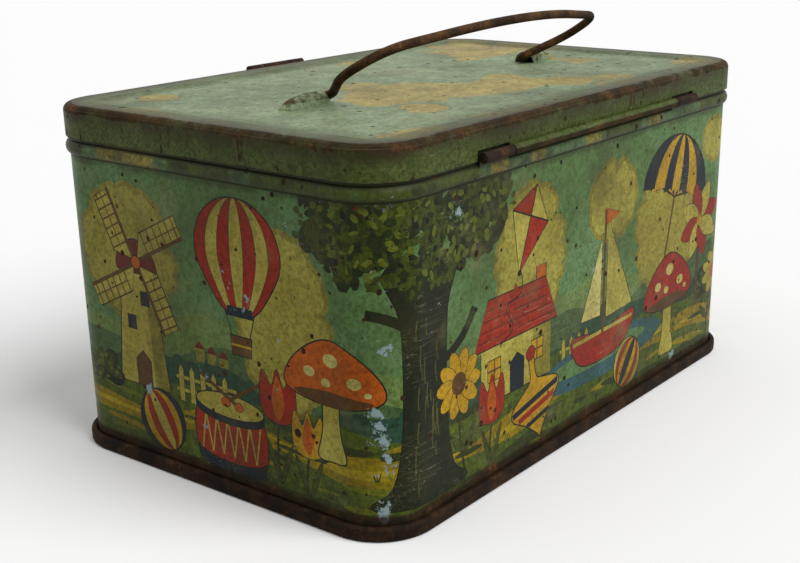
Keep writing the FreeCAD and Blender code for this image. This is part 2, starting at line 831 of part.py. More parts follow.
def finger_roll_section(sketch):
    """The tongue's lower edge rolled outwards, so that a finger can lift it."""
    outer = named("finger_roll_radius")
    inner = outer - SHEET
    mid = HASP_INNER_FACE + outer
    z = HASP_FOOT
    outline = Outline(sketch, *at_front(mid - outer, z + SHEET))
    outline.line_to(*at_front(mid - outer, z))
    outline.arc_to(*at_front(mid, z - outer), outer, RIGHT)
    outline.arc_to(*at_front(mid + outer, z), outer, RIGHT)
    outline.arc_to(*at_front(mid, z + outer), outer, RIGHT)
    outline.line_to(*at_front(mid, z + inner))
    outline.arc_to(*at_front(mid + inner, z), inner, LEFT)
    outline.arc_to(*at_front(mid, z - inner), inner, LEFT)
    outline.arc_to(*at_front(mid - inner, z), inner, LEFT)
    outline.line_to(*at_front(mid - inner, z + SHEET))
    return outline.close()


def make_hasp_plate():
    """Swinging half of the hasp: knuckle, slotted tongue and finger roll."""
    body = new_body("hasp_plate")
    foot = HASP_Z - named("hasp_root") - SHEET
    roll = hasp_roll_section(sketch_on(body, "YZ_Plane", "roll"), 1, foot)
    pad(body, roll, named("hasp_knuckle_width"), symmetric=True)
    face = HALF_WIDTH + HASP_INNER_FACE
    tongue = tongue_outline(sketch_on(body, "XZ_Plane", "tongue", offset=face))
    pad(body, tongue, SHEET)
    finger = finger_roll_section(sketch_on(body, "YZ_Plane", "finger_roll"))
    pad(body, finger, named("finger_roll_width"), symmetric=True)
    slot = slot_outline(sketch_on(body, "XZ_Plane", "slot"))
    cut_through(body, slot, reverse=True)
    return body


# ----------------------------------------------------------- rivets and catch
def turned_on_y(sketch, corners, dome):
    """Half section of a headed pin: radius across, distance out of the wall up."""
    outline = Outline(sketch, 0, corners[0][1])
    for radius, out in corners:
        outline.line_to(radius, out)
    outline.arc_to(0, dome[0], dome[1], LEFT)
    return outline.close()


def dome_radius(head, rise):
    return (head * head + rise * rise) / (rise * 2)


def make_headed_pin(name, corners, dome, x, z):
    """Revolve a headed pin whose axis points out of the front wall."""
    sketch = doc.addObject("Sketcher::SketchObject", name + "_section")
    turned_on_y(sketch, corners, dome)
    solid = doc.addObject("Part::Revolution", name)
    solid.Source = sketch
    solid.Axis = FreeCAD.Vector(0, 1, 0)
    solid.Base = FreeCAD.Vector(0, 0, 0)
    solid.Angle = 360
    solid.Solid = True
    solid.Placement = FreeCAD.Placement(FreeCAD.Vector(), FreeCAD.Rotation(FreeCAD.Vector(1, 0, 0), 180))
    solid.setExpression(".Placement.Base.x", as_size(x).formula)
    solid.setExpression(".Placement.Base.y", (-HALF_WIDTH).formula)
    solid.setExpression(".Placement.Base.z", z.formula)
    return solid


def make_hasp_rivets():
    shank = named("rivet_radius")
    head = named("rivet_head_radius")
    foot = LID_OUTSET - SHEET
    face = LID_OUTSET + SHEET
    rise = named("rivet_head_height")
    corners = [
        (head, foot - named("rivet_foot_thickness")),
        (head, foot),
        (shank, foot),
        (shank, face),
        (head, face),
    ]
    dome = (face + rise, dome_radius(head, rise))
    places = (HALF_RIVET_SPACING, -HALF_RIVET_SPACING)
    names = ("rivet_a", "rivet_b")
    height = RIVET_Z
    solids = [make_headed_pin(name, corners, dome, x, height) for name, x in zip(names, places)]
    pair = doc.addObject("Part::Compound", "hasp_rivets")
    pair.Label = "hasp_rivets"
    pair.Links = solids
    return pair


def make_catch_stud():
    shank = named("stud_shank_radius")
    peen = named("stud_peen_radius")
    collar = named("stud_collar_radius")
    neck = named("stud_neck_radius")
    head = named("stud_head_radius")
    head_start = named("stud_head_start")
    collar_end = named("stud_collar_length")
    corners = [
        (peen, -(SHEET + named("stud_peen_length"))),
        (peen, -SHEET),
        (shank, -SHEET),
        (shank, 0),
        (collar, 0),
        (collar, collar_end),
        (neck, collar_end),
        (neck, head_start),
        (head, head_start),
    ]
    dome = (named("stud_reach"), dome_radius(head, named("stud_reach") - head_start))
    stud = make_headed_pin("catch_stud", corners, dome, 0, STUD_Z)
    stud.Label = "catch_stud"
    return stud


# ---------------------------------------------------------------------- output
def check(part):
    for item in doc.Objects:
        if "Invalid" in item.State or "Error" in item.State:
            raise RuntimeError("%s failed: %s" % (item.Name, item.State))
    if part.Shape.isNull() or not part.Shape.isValid():
        raise RuntimeError("%s has no valid shape" % part.Label)


pin_length = (KNUCKLE_START + named("body_knuckle_length") + named("pin_overhang")) * 2
parts = [
    make_body_wall(),
    make_bottom_pan(),
    make_lid_shell(),
    make_pin("hinge_pin", named("hinge_pin_radius"), pin_length, HALF_WIDTH + HINGE_OUT, HINGE_Z),
    make_bail(),
    make_hasp_leaf(),
    make_hasp_rivets(),
    make_pin("hasp_pin", named("hasp_pin_radius"), named("hasp_width"), -(HALF_WIDTH + HASP_OUT), HASP_Z),
    make_hasp_plate(),
    make_catch_stud(),
]
doc.recompute()
for part in parts:
    check(part)
for part in parts:
    part.Shape.exportStep("parts/%s.step" % part.Label)
    print("%-14s solids %d  volume %.1f" % (part.Label, len(part.Shape.Solids), part.Shape.Volume))
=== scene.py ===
import math
import random

import bpy
import numpy as np
from mathutils import Matrix, Vector, geometry


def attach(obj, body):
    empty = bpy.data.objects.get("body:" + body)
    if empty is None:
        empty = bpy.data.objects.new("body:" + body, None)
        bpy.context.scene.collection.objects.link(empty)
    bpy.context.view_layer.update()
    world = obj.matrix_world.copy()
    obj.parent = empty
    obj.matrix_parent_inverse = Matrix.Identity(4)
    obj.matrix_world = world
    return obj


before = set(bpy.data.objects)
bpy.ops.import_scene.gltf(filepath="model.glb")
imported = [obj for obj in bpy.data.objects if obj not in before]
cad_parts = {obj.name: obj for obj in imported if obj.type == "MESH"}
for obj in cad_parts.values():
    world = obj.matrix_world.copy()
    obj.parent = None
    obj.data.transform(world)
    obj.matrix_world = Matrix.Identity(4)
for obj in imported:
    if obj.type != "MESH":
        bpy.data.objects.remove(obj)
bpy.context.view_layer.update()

MM = 0.001

# ------------------------------------------------------------ measures of the box (mm)
HALF_LENGTH = 94.0
HALF_WIDTH = 59.75
CORNER = 14.3
PRINT_FOOT = 4.3
PRINT_HEAD = 86.1
PRINT_PROUD = 0.04
CORNER_STEPS = 12
BEAD_MIDDLE = 88.3
# Where one zone of a sheet fades in, from none to all: UP and DOWN are heights over the
# floor, and the rest are reaches outside the body's rounded outline.
SEAM_DOWN = (4.4, 3.8)
KNUCKLE_OUT = (1.3, 1.6)
WALL_INSIDE = (-0.1, -0.3)
BORDER_OUT = (-22.0, -2.5)
SKIRT_OUT = (-1.2, 0.2)
GRIME_OUT, GRIME_UP = (-5.0, -1.4), (93.6, 98.0)
SHOULDER_OUT, SHOULDER_UP = (-2.8, -0.9), (96.4, 98.8)
HEM_OUT, HEM_DOWN = (-0.5, 0.5), (92.6, 90.8)
CURL_OUT, CURL_DOWN = (1.5, 2.2), (93.2, 91.2)
EAR_OUT, EAR_UP = (-20.0, -25.0), (99.7, 101.2)
PANEL_OUT, PANEL_DOWN = (0.5, 0.4), (99.06, 98.9)
SKIRT_INSIDE = (0.74, 0.62)


def linear(red, green, blue):
    """An sRGB colour of 0 to 255 as the linear colour a shader takes."""
    def one(value):
        value /= 255
        return value / 12.92 if value <= 0.04045 else ((value + 0.055) / 1.055) ** 2.4
    return one(red), one(green), one(blue), 1.0


def colours(tones):
    return {name: linear(*tone) for name, tone in tones.items()}


# The colours of wear, of varnish, of painted shade round the bead and of the sheets that carry no
# picture.
TINTS = colours({
    "varnish_dark": (206, 203, 176), "varnish_light": (255, 253, 244), "grime": (52, 50, 24),
    "faded": (150, 146, 100), "scratch": (176, 176, 140), "chip": (136, 156, 158),
    "dapple": (168, 168, 120), "yellowed": (224, 220, 168), "clear": (255, 255, 218),
    "top_stain": (38, 40, 16), "bright_tin": (128, 122, 104), "dull_tin": (84, 72, 54),
    "bead_sky": (90, 118, 80), "bead_grass": (70, 84, 30), "bead_cloud": (146, 136, 68),
    "speckle": (54, 60, 26), "groove": (26, 26, 13), "sage_dark": (112, 130, 102),
    "sage": (140, 158, 128), "tan_dark": (146, 134, 76), "tan": (176, 162, 96),
    "cloud_line": (82, 88, 58), "wiping": (70, 80, 54), "border": (62, 68, 36),
    "skirt": (79, 94, 46), "skirt_dark": (55, 66, 26), "skirt_wiping": (30, 36, 16),
    "edge_grime": (46, 40, 18), "worn_steel": (96, 82, 66),
})


# ------------------------------------------------------------------- material building
class Paint:
    """One node material, with places measured in millimetres of the row frame."""

    def __init__(self, name):
        self.material = bpy.data.materials.new(name)
        self.material.use_nodes = True
        self.tree = self.material.node_tree
        self.surface = self.tree.nodes["Principled BSDF"]
        coordinates = self.node("TexCoord")
        self.place = self.vector("SCALE", coordinates.outputs["Object"], scale=1 / MM)
        self.heights = []

    def node(self, kind, feeds=(), **settings):
        """A new node with its settings made and its sockets fed."""
        made = self.tree.nodes.new("ShaderNode" + kind)
        for name, value in settings.items():
            setattr(made, name, value)
        for socket, value in dict(feeds).items():
            self.feed(made.inputs[socket], value)
        return made

    def feed(self, socket, value):
        """Give a socket a link, a number, a vector or a named tint."""
        if isinstance(value, bpy.types.NodeSocket):
            self.tree.links.new(value, socket)
        else:
            socket.default_value = TINTS[value] if isinstance(value, str) else value

    def vector(self, operation, first, second=None, scale=None):
        feeds = {0: first, 1: second, "Scale": scale}
        given = {socket: value for socket, value in feeds.items() if value is not None}
        made = self.node("VectorMath", given, operation=operation)
        return made.outputs["Value" if operation == "LENGTH" else "Vector"]

    def math(self, operation, first, second=0.0):
        return self.node("Math", {0: first, 1: second}, operation=operation).outputs[0]

    def axis(self, index, place=None):
        return self.node("SeparateXYZ", {0: place or self.place}).outputs[index]

    def noise(self, size, detail, roughness, place=None, shift=0.0):
        """Noise with features of about the size; most of it lies between 0.35 and 0.65."""
        feeds = {"Vector": place or self.place, "W": shift, "Scale": 1 / size,
                 "Detail": detail, "Roughness": roughness}
        return self.node("TexNoise", feeds, noise_dimensions="4D").outputs["Fac"]

    def cells(self, size, place=None, shift=0.0):
        """Distance to the nearest of scattered centres, its random colour and its place."""
        feeds = {"Vector": place or self.place, "W": shift, "Scale": 1 / size}
        made = self.node("TexVoronoi", feeds, voronoi_dimensions="4D")
        return made.outputs["Distance"], made.outputs["Color"], made.outputs["Position"]

    def ramp(self, value, start, end, low=0.0, high=1.0):
        """A smooth step from low at start to high at end."""
        feeds = enumerate((value, start, end, low, high))
        return self.node("MapRange", feeds, interpolation_type="SMOOTHSTEP").outputs[0]

    def mix(self, factor, first, second, kind="MIX"):
        feeds = {0: factor, 6: first, 7: second}
        return self.node("Mix", feeds, data_type="RGBA", blend_type=kind).outputs[2]

    def plus(self, first, second):
        return self.math("ADD", first, second)

    def minus(self, first, second):
        return self.math("SUBTRACT", first, second)

    def both(self, first, second):
        return self.math("MULTIPLY", first, second)

    def either(self, first, second):
        return self.math("MAXIMUM", first, second)

    def shaded(self, factor, colour, dark, light):
        """The colour multiplied by a tone between dark and light."""
        return self.mix(1.0, colour, self.mix(factor, dark, light), "MULTIPLY")

    def relief(self, value, height):
        """Add a height in millimetres to the bump."""
        self.heights.append(self.both(value, height))

    def finish(self, colour, roughness, metallic, specular):
        self.feed(self.surface.inputs["Base Color"], colour)
        self.feed(self.surface.inputs["Roughness"], roughness)
        self.feed(self.surface.inputs["Metallic"], metallic)
        self.feed(self.surface.inputs["Specular IOR Level"], specular)
        if self.heights:
            total = self.heights[0]
            for height in self.heights[1:]:
                total = self.plus(total, height)
            bump = self.node("Bump", {"Strength": 1.0, "Distance": MM, "Height": total})
            self.feed(self.surface.inputs["Normal"], bump.outputs[0])
        return self.material

    # ---------------------------------------------------------------- shared finishes
    def rust(self, dark=(30, 21, 15), brown=(70, 46, 29), bloom=(128, 74, 36)):
        """Pitted rust that goes from near black through brown to a little orange."""
        slow = self.noise(7.0, 7.0, 0.7, shift=1.7)
        fast = self.noise(0.9, 5.0, 0.75, shift=4.1)
        colour = self.mix(self.ramp(slow, 0.4, 0.62), linear(*dark), linear(*brown))
        colour = self.mix(self.ramp(fast, 0.42, 0.62, 0.0, 0.75), colour, linear(*dark))
        orange = self.both(self.ramp(slow, 0.57, 0.66), self.ramp(fast, 0.54, 0.42))
        return self.mix(self.both(orange, 0.7), colour, linear(*bloom))

    def specks(self, size, most, shift):
        """Ragged spots: one in each cell, and most of them tiny."""
        distance, colour, _ = self.cells(size, shift=shift)
        chance = self.axis(0, colour)
        radius = self.both(self.math("POWER", chance, 6.0), most)
        edge = self.minus(radius, distance)
        rough = self.both(self.minus(self.noise(0.6, 3.0, 0.7), 0.5), 0.35)
        return self.ramp(self.plus(edge, rough), 0.03, 0.07)

    def drawn_out(self, turn, share):
        """The place turned, with only a share of its length left, which draws noise out."""
        feeds = {"Vector": self.place, "Rotation": turn, "Scale": (share, 1.0, 1.0)}
        return self.node("Mapping", feeds, vector_type="POINT").outputs[0]

    def scratches(self, turn, shift):
        """Thin lines in one direction, broken up by a slower noise."""
        lines = self.noise(1.6, 2.0, 0.5, self.drawn_out(turn, 0.03), shift)
        thin = self.ramp(self.math("ABSOLUTE", self.minus(lines, 0.5)), 0.004, 0.0)
        broken = self.noise(22.0, 2.0, 0.5, shift=shift)
        return self.both(thin, self.ramp(broken, 0.56, 0.64))

    def strokes(self, turn, shift):
        """Many fine wiping marks along the length, in broken patches."""
        lines = self.noise(0.9, 3.0, 0.7, self.drawn_out((0, 0, turn), 0.06), shift)
        broken = self.noise(16.0, 4.0, 0.6, shift=shift)
        return self.both(self.ramp(lines, 0.56, 0.66), self.ramp(broken, 0.42, 0.6))

    def past_flats(self, place):
        """How far a place lies beyond the flat stretch of the walls, in length and width."""
        return self.vector("SUBTRACT", self.vector("ABSOLUTE", place),
                           (HALF_LENGTH - CORNER, HALF_WIDTH - CORNER, 0))

    def outwards(self):
        """Millimetres outside the body's rounded outline, in plan."""
        reach = self.past_flats(self.vector("MULTIPLY", self.place, (1, 1, 0)))
        beyond = self.vector("LENGTH", self.vector("MAXIMUM", reach, (0, 0, 0)))
        within = self.math("MINIMUM", self.either(self.axis(0, reach), self.axis(1, reach)), 0.0)
        return self.minus(self.plus(beyond, within), CORNER)


def printed_layers(paint, ink, rust_level, chip_level):
    """Ink under worn varnish, with grime, scratches and chips; also where rust and chips are.

    The levels are the noise above which rust and chips show, so a higher one gives fewer.
    Chips come more easily where the sheet bends round an upright corner.
    """
    grain = paint.ramp(paint.noise(1.1, 4.0, 0.8, shift=8.0), 0.4, 0.56)
    colour = paint.shaded(grain, ink, "varnish_dark", "varnish_light")
    grime = paint.noise(30.0, 6.0, 0.66, shift=2.2)
    colour = paint.mix(paint.ramp(grime, 0.45, 0.7, 0.0, 0.55), colour, "grime")
    faded = paint.noise(17.0, 6.0, 0.66, shift=6.4)
    colour = paint.mix(paint.ramp(faded, 0.52, 0.74, 0.0, 0.25), colour, "faded")
    marks = paint.either(paint.scratches((0.3, 0.9, 0.5), 3.0),
                         paint.scratches((1.1, 0.2, 1.9), 9.0))
    colour = paint.mix(paint.both(marks, 0.5), colour, "scratch")
    beyond = paint.past_flats(paint.place)
    bend = paint.math("MINIMUM", paint.axis(0, beyond), paint.axis(1, beyond))
    worn_bend = paint.ramp(bend, 4.0, 9.5, 0.0, 0.075)
    chip_field = paint.plus(paint.noise(11.0, 8.0, 0.76, shift=5.5), worn_bend)
    chips = paint.ramp(chip_field, chip_level, chip_level + 0.012)
    colour = paint.mix(chips, colour, "chip")
    blotch = paint.noise(24.0, 9.0, 0.76, shift=7.7)
    rusty = paint.ramp(blotch, rust_level, rust_level + 0.03)
    small = paint.either(paint.specks(2.2, 0.5, 1.0), paint.specks(5.5, 0.3, 2.0))
    return colour, paint.either(rusty, small), chips


# -------------------------------------------------------------------------- materials
def wall_print():
    """The printed picture: one ink per face, worn as one surface."""
    paint = Paint("litho_wall_print")
    ink, dapple = (paint.node("Attribute", attribute_type="GEOMETRY", attribute_name=name)
                   for name in ("ink", "dapple"))
    ink, dapple = ink.outputs["Color"], dapple.outputs["Fac"]
    shade = paint.both(paint.ramp(paint.noise(2.4, 4.0, 0.7, shift=12.0), 0.46, 0.58), dapple)
    ink = paint.mix(shade, ink, paint.mix(1.0, ink, "dapple", "MULTIPLY"))
    tone = paint.ramp(paint.noise(24.0, 4.0, 0.6, shift=7.1), 0.36, 0.64)
    ink = paint.shaded(tone, ink, "yellowed", "clear")
    colour, rusty, chips = printed_layers(paint, ink, 0.7, 0.635)
    height = paint.axis(2)
    wander = paint.noise(9.0, 6.0, 0.72, shift=3.3)
    # Painted shade with grime: a patchy dark band just below the bead, where the lid's skirt and
    # the bead shade the wall.
    top = paint.ramp(paint.plus(paint.ramp(height, 79.0, 87.0), wander), 1.2, 1.5)
    foot = paint.ramp(paint.plus(paint.ramp(height, 10.5, 4.0), wander), 0.98, 1.4)
    colour = paint.mix(paint.both(top, 0.6), colour, "top_stain")
    rusty = paint.either(rusty, paint.both(foot, 0.9))
    colour = paint.mix(rusty, colour, paint.rust())
    paint.relief(paint.noise(30.0, 2.0, 0.4, shift=1.1), 0.5)
    paint.relief(paint.noise(0.9, 3.0, 0.7, shift=4.6), 0.012)
    paint.relief(rusty, 0.04)
    paint.relief(chips, -0.03)
    rough = paint.ramp(rusty, 0.0, 1.0, 0.45, 0.8)
    return paint.finish(colour, rough, 0.0, 0.12)


def bare_tin(paint):
    """Tarnished tinplate with brown rust coming through."""
    tarnish = paint.noise(17.0, 7.0, 0.68, shift=9.1)
    bare = paint.mix(paint.ramp(tarnish, 0.35, 0.65), "bright_tin", "dull_tin")
    return paint.mix(paint.ramp(tarnish, 0.56, 0.66), bare, paint.rust())


def wall_tin():
    """The body's own sheet: worn picture colours on the bead, painted shade above and below it,
    dull tin and rust inside.
    """
    paint = Paint("litho_body_sheet")
    height = paint.axis(2)
    out = paint.outwards()
    speckle = paint.ramp(paint.noise(1.3, 4.0, 0.75, shift=2.6), 0.44, 0.58)
    region = paint.noise(22.0, 2.0, 0.5, paint.vector("MULTIPLY", paint.place, (1, 1, 0.2)), 4.4)
    ink = paint.mix(paint.ramp(region, 0.5, 0.53), "bead_sky", "bead_grass")
    ink = paint.mix(paint.ramp(region, 0.44, 0.42), ink, "bead_cloud")
    ink = paint.mix(paint.both(speckle, 0.4), ink, "speckle")
    colour, rusty, chips = printed_layers(paint, ink, 0.64, 0.7)
    wander = paint.noise(8.0, 6.0, 0.72, shift=3.3)
    # Painted shade: the sheet goes dark above and below the bead, where the lid's skirt and the
    # bead shade it, with random dark patches of the same colour over the bead too.
    groove = paint.ramp(paint.math("ABSOLUTE", paint.minus(height, BEAD_MIDDLE)), 0.7, 1.9)
    groove = paint.either(groove, paint.both(paint.ramp(wander, 0.44, 0.6), 0.75))
    colour = paint.mix(paint.both(groove, 0.88), colour, "groove")
    knuckle = paint.ramp(out, *KNUCKLE_OUT)
    rusty = paint.either(rusty, knuckle)
    outside = paint.mix(rusty, colour, paint.rust())
    within = paint.ramp(out, *WALL_INSIDE)
    colour = paint.mix(within, outside, bare_tin(paint))
    colour = paint.mix(paint.ramp(height, *SEAM_DOWN), colour, paint.rust())
    paint.relief(paint.noise(0.9, 4.0, 0.7), 0.03)
    paint.relief(rusty, 0.05)
    metallic = paint.both(within, 0.55)
    return paint.finish(colour, paint.ramp(rusty, 0.0, 1.0, 0.46, 0.8), metallic, 0.14)


def lid_print():
    """Sage green with tan clouds on top, olive skirt, rust along every edge."""
    paint = Paint("litho_lid_print")
    out = paint.outwards()
    height = paint.axis(2)
    ragged = paint.vector("SCALE", noise_vector(paint, 9.0), scale=2.2)
    warped = paint.vector("ADD", paint.place, ragged)
    distance, _, centre = paint.cells(15.0, paint.vector("MULTIPLY", warped, (1, 1, 0)), 0.4)
    region = paint.noise(46.0, 1.0, 0.4, centre, 3.6)
    cloud = paint.minus(paint.ramp(region, 0.51, 0.6, 0.0, 0.95), distance)
    patch = paint.ramp(cloud, -0.004, 0.004)
    rim = paint.both(paint.ramp(cloud, -0.05, -0.035), paint.ramp(cloud, 0.01, -0.005))
    mottle = paint.ramp(paint.noise(6.0, 8.0, 0.78, shift=5.0), 0.38, 0.62)
    ink = paint.mix(patch, paint.mix(mottle, "sage_dark", "sage"),
                    paint.mix(mottle, "tan_dark", "tan"))
    ink = paint.mix(paint.both(rim, 0.5), ink, "cloud_line")
    for turn, shift in ((0.12, 1.0), (0.2, 5.0)):
        lines = paint.strokes(turn, shift)
        ink = paint.mix(paint.both(lines, 0.6), ink, "wiping")
    stain = paint.noise(11.0, 7.0, 0.74, shift=2.9)
    border = paint.ramp(paint.plus(paint.ramp(out, *BORDER_OUT), stain), 0.7, 1.55)
    ink = paint.mix(paint.both(border, 0.85), ink, "border")
    skirt = paint.ramp(out, *SKIRT_OUT)
    side = paint.ramp(paint.noise(1.1, 5.0, 0.78, shift=1.4), 0.42, 0.6)
    side = paint.mix(side, "skirt", "skirt_dark")
    side = paint.mix(paint.both(paint.strokes(0.0, 3.0), 0.55), side, "skirt_wiping")
    ink = paint.mix(skirt, ink, side)
    colour, rusty, chips = printed_layers(paint, ink, 0.67, 0.68)
    grimy = paint.both(paint.ramp(out, *GRIME_OUT), paint.ramp(height, *GRIME_UP))
    grimy = paint.both(grimy, paint.ramp(stain, 0.34, 0.6, 0.35, 0.95))
    colour = paint.mix(grimy, colour, "edge_grime")
    wander = paint.noise(5.0, 8.0, 0.76, shift=6.6)
    shoulder = paint.both(paint.ramp(out, *SHOULDER_OUT), paint.ramp(height, *SHOULDER_UP))
    slow = paint.both(paint.noise(38.0, 3.0, 0.5, shift=1.9), 1.4)
    spread = paint.plus(paint.both(wander, 2.2), slow)
    edge_rust = paint.ramp(paint.plus(shoulder, spread), 2.5, 2.95)
    drips = paint.noise(4.0, 6.0, 0.72, paint.vector("MULTIPLY", paint.place, (1, 1, 0.3)), 2.3)
    hem = paint.math("MINIMUM", paint.ramp(height, *HEM_DOWN), paint.ramp(out, *HEM_OUT))
    hem_rust = paint.ramp(paint.plus(hem, paint.both(wander, 1.2)), 1.36, 1.55)
    streaks = paint.both(paint.ramp(drips, 0.6, 0.65), paint.ramp(out, -0.5, 0.3))
    low_curl = paint.plus(wander, paint.ramp(height, *CURL_DOWN))
    curl = paint.both(paint.ramp(out, *CURL_OUT), paint.ramp(low_curl, 0.7, 1.0))
    ear = paint.both(paint.ramp(height, *EAR_UP), paint.ramp(out, *EAR_OUT))
    ear_rust = paint.ramp(paint.plus(ear, paint.both(wander, 1.4)), 1.55, 1.8)
    below = paint.either(paint.either(hem_rust, curl), ear_rust)
    rusty = paint.either(paint.either(paint.either(rusty, edge_rust), below), streaks)
    shade = paint.rust((33, 25, 12), (74, 51, 25), (140, 82, 34))
    colour = paint.mix(paint.both(rusty, 0.94), colour, shade)
    facing = paint.node("VectorTransform", {0: paint.node("NewGeometry").outputs["Normal"]},
                        vector_type="NORMAL", convert_from="WORLD", convert_to="OBJECT")
    downward = paint.ramp(paint.axis(2, facing.outputs[0]), -0.2, -0.6)
    under = paint.both(downward, paint.ramp(out, *PANEL_OUT))
    within = paint.both(paint.ramp(height, *PANEL_DOWN), paint.ramp(out, *SKIRT_INSIDE))
    colour = paint.mix(paint.either(under, within), colour, bare_tin(paint))
    paint.relief(paint.noise(26.0, 2.0, 0.4, shift=1.1), 0.5)
    paint.relief(paint.noise(0.9, 3.0, 0.7, shift=4.6), 0.015)
    paint.relief(rusty, 0.05)
    paint.relief(chips, -0.03)
    return paint.finish(colour, paint.ramp(rusty, 0.0, 1.0, 0.5, 0.82), 0.0, 0.12)


def noise_vector(paint, size):
    """A push in a random direction, of up to half a millimetre each way."""
    made = paint.node("TexNoise", {"Vector": paint.place, "Scale": 1 / size, "Detail": 1.0})
    return paint.vector("SUBTRACT", made.outputs["Color"], (0.5, 0.5, 0.5))


def rusty_steel(name, bright, pits, *tones):
    """Rusted steel with a little worn metal left on it."""
    paint = Paint(name)
    worn = paint.ramp(paint.noise(3.0, 7.0, 0.74, shift=2.4), 0.58, 0.68)
    colour = paint.mix(paint.both(worn, bright), paint.rust(*tones), "worn_steel")
    paint.relief(paint.noise(0.7, 4.0, 0.75, shift=0.6), pits)
    paint.relief(paint.noise(2.6, 3.0, 0.6, shift=0.9), pits * 2)
    rough = paint.ramp(worn, 0.0, 1.0, 0.76, 0.55)
    return paint.finish(colour, rough, paint.both(worn, bright), 0.1)


MATERIALS = {
    "wall": wall_print(),
    "sheet": wall_tin(),
    "lid": lid_print(),
    "rim": rusty_steel("rusty_bottom_rim", 0.3, 0.08, (24, 16, 10), (58, 40, 24), (104, 62, 30)),
    "pin": rusty_steel("rusty_pin_wire", 0.5, 0.05),
    "fitting": rusty_steel("rusty_hasp_tin", 0.5, 0.06),
    "bail": rusty_steel("rusty_bail_wire", 0.4, 0.1, (40, 28, 17), (94, 66, 38), (122, 78, 40)),
}
NODE_MATERIALS = {
    "body_wall": "sheet", "bottom_pan": "rim", "lid_shell": "lid", "hinge_pin": "pin",
    "hasp_pin": "pin", "hasp_leaf": "fitting", "hasp_rivets": "fitting",
    "hasp_plate": "fitting", "catch_stud": "fitting", "carry_handle": "bail",
}
for node, material in NODE_MATERIALS.items():
    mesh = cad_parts[node].data
    mesh.materials.clear()
    mesh.materials.append(MATERIALS[material])


# ------------------------------------------------------------- the picture on the walls
# Places along the wall run to the viewer's right, from the middle of the +X end.
END_FLAT = HALF_WIDTH - CORNER
ARC = CORNER * math.pi / 2
SIDE_FLAT = HALF_LENGTH - CORNER
BACK = END_FLAT + ARC + SIDE_FLAT
PERIMETER = 4 * (END_FLAT + ARC + SIDE_FLAT)
FRONT = BACK - PERIMETER / 2
FAR_END = PERIMETER / 2
INKS = colours({
    "sky": (98, 134, 106), "low_sky": (112, 138, 98), "cloud": (144, 138, 70),
    "bright_cloud": (168, 162, 90), "far_hill": (78, 106, 82), "hill": (42, 78, 76),
    "grass": (80, 100, 22), "dark_grass": (48, 60, 18), "light_grass": (114, 122, 26),
    "path": (150, 130, 10), "light_path": (178, 156, 32), "bark": (28, 34, 18),
    "light_bark": (82, 84, 48), "dark_leaf": (36, 48, 18), "leaf": (68, 80, 26),
    "light_leaf": (98, 108, 40), "navy": (16, 28, 54), "blue": (52, 92, 124),
    "red": (156, 40, 24), "deep_red": (104, 30, 20), "orange": (190, 94, 28),
    "yellow": (192, 152, 40), "cream": (180, 171, 98), "white": (204, 196, 150),
    "brown": (92, 62, 30), "line": (14, 20, 12),
})
DAPPLE = {
    "grass": 0.7, "dark_grass": 0.5, "light_grass": 0.5, "cloud": 0.35, "bright_cloud": 0.25,
    "path": 0.4, "hill": 0.6, "far_hill": 0.4, "dark_leaf": 0.7, "leaf": 0.8, "sky": 0.25,
    "low_sky": 0.25, "bark": 0.6,
}
KEY_LINE = 0.4
THIN_LINE = 0.2
WELD = 1e-5
draw = random.Random(31)


class Picture:
    """Flat inks laid over each other, the later ones on top."""

    def __init__(self):
        self.shapes = []

    def lay(self, points, ink):
        for shift in (0.0, PERIMETER, -PERIMETER):
            moved = [(x + shift, z) for x, z in points]
            if max(x for x, _ in moved) > -FAR_END and min(x for x, _ in moved) < FAR_END:
                self.shapes.append((moved, ink))

    def keyed(self, points, ink, line=KEY_LINE):
        """A shape with the dark key line of a litho print round it."""
        self.lay(grown(points, line), "line")
        self.lay(points, ink)

    def stroke(self, points, width, ink):
        """A line of even width along a smooth open run of points."""
        left, right = [], []
        for index, (x, z) in enumerate(points):
            ahead = points[min(index + 1, len(points) - 1)]
            behind = points[max(index - 1, 0)]
            run = math.hypot(ahead[0] - behind[0], ahead[1] - behind[1]) or 1.0
            across = ((behind[1] - ahead[1]) / run * width / 2,
                      (ahead[0] - behind[0]) / run * width / 2)
            left.append((x + across[0], z + across[1]))
            right.append((x - across[0], z - across[1]))
        self.lay(left + right[::-1], ink)


class Motif:
    """A pencil for one motif's shapes, drawn round its own origin."""

    def __init__(self, picture, x, z, size, turn=0.0):
        self.picture = picture
        self.set_down = (x, z, size, turn)

    def lay(self, points, ink):
        self.picture.lay(placed(points, *self.set_down), ink)

    def keyed(self, points, ink, line=KEY_LINE):
        self.picture.keyed(placed(points, *self.set_down), ink, line)

    def stroke(self, points, width, ink):
        self.picture.stroke(placed(points, *self.set_down), width, ink)


def signed_area(points):
    return sum(a[0] * b[1] - b[0] * a[1] for a, b in zip(points, points[1:] + points[:1])) / 2


def grown(points, amount):
    """The same outline, pushed outwards along its normals."""
    sign = 1 if signed_area(points) > 0 else -1
    made = []
    for index, (x, z) in enumerate(points):
        before, after = points[index - 1], points[(index + 1) % len(points)]
        dx, dz = after[0] - before[0], after[1] - before[1]
        run = math.hypot(dx, dz) or 1.0
        made.append((x + dz / run * amount * sign, z - dx / run * amount * sign))
    return made


def smooth(points, steps=5):
    """A closed Catmull-Rom curve through the points."""
    made = []
    count = len(points)
    for index in range(count):
        p0, p1, p2, p3 = (points[(index + k) % count] for k in (-1, 0, 1, 2))
        for step in range(steps):
            t = step / steps
            made.append(tuple(
                0.5 * (2 * b + (c - a) * t + (2 * a - 5 * b + 4 * c - d) * t * t
                       + (3 * b - a - 3 * c + d) * t ** 3)
                for a, b, c, d in zip(p0, p1, p2, p3)))
    return made


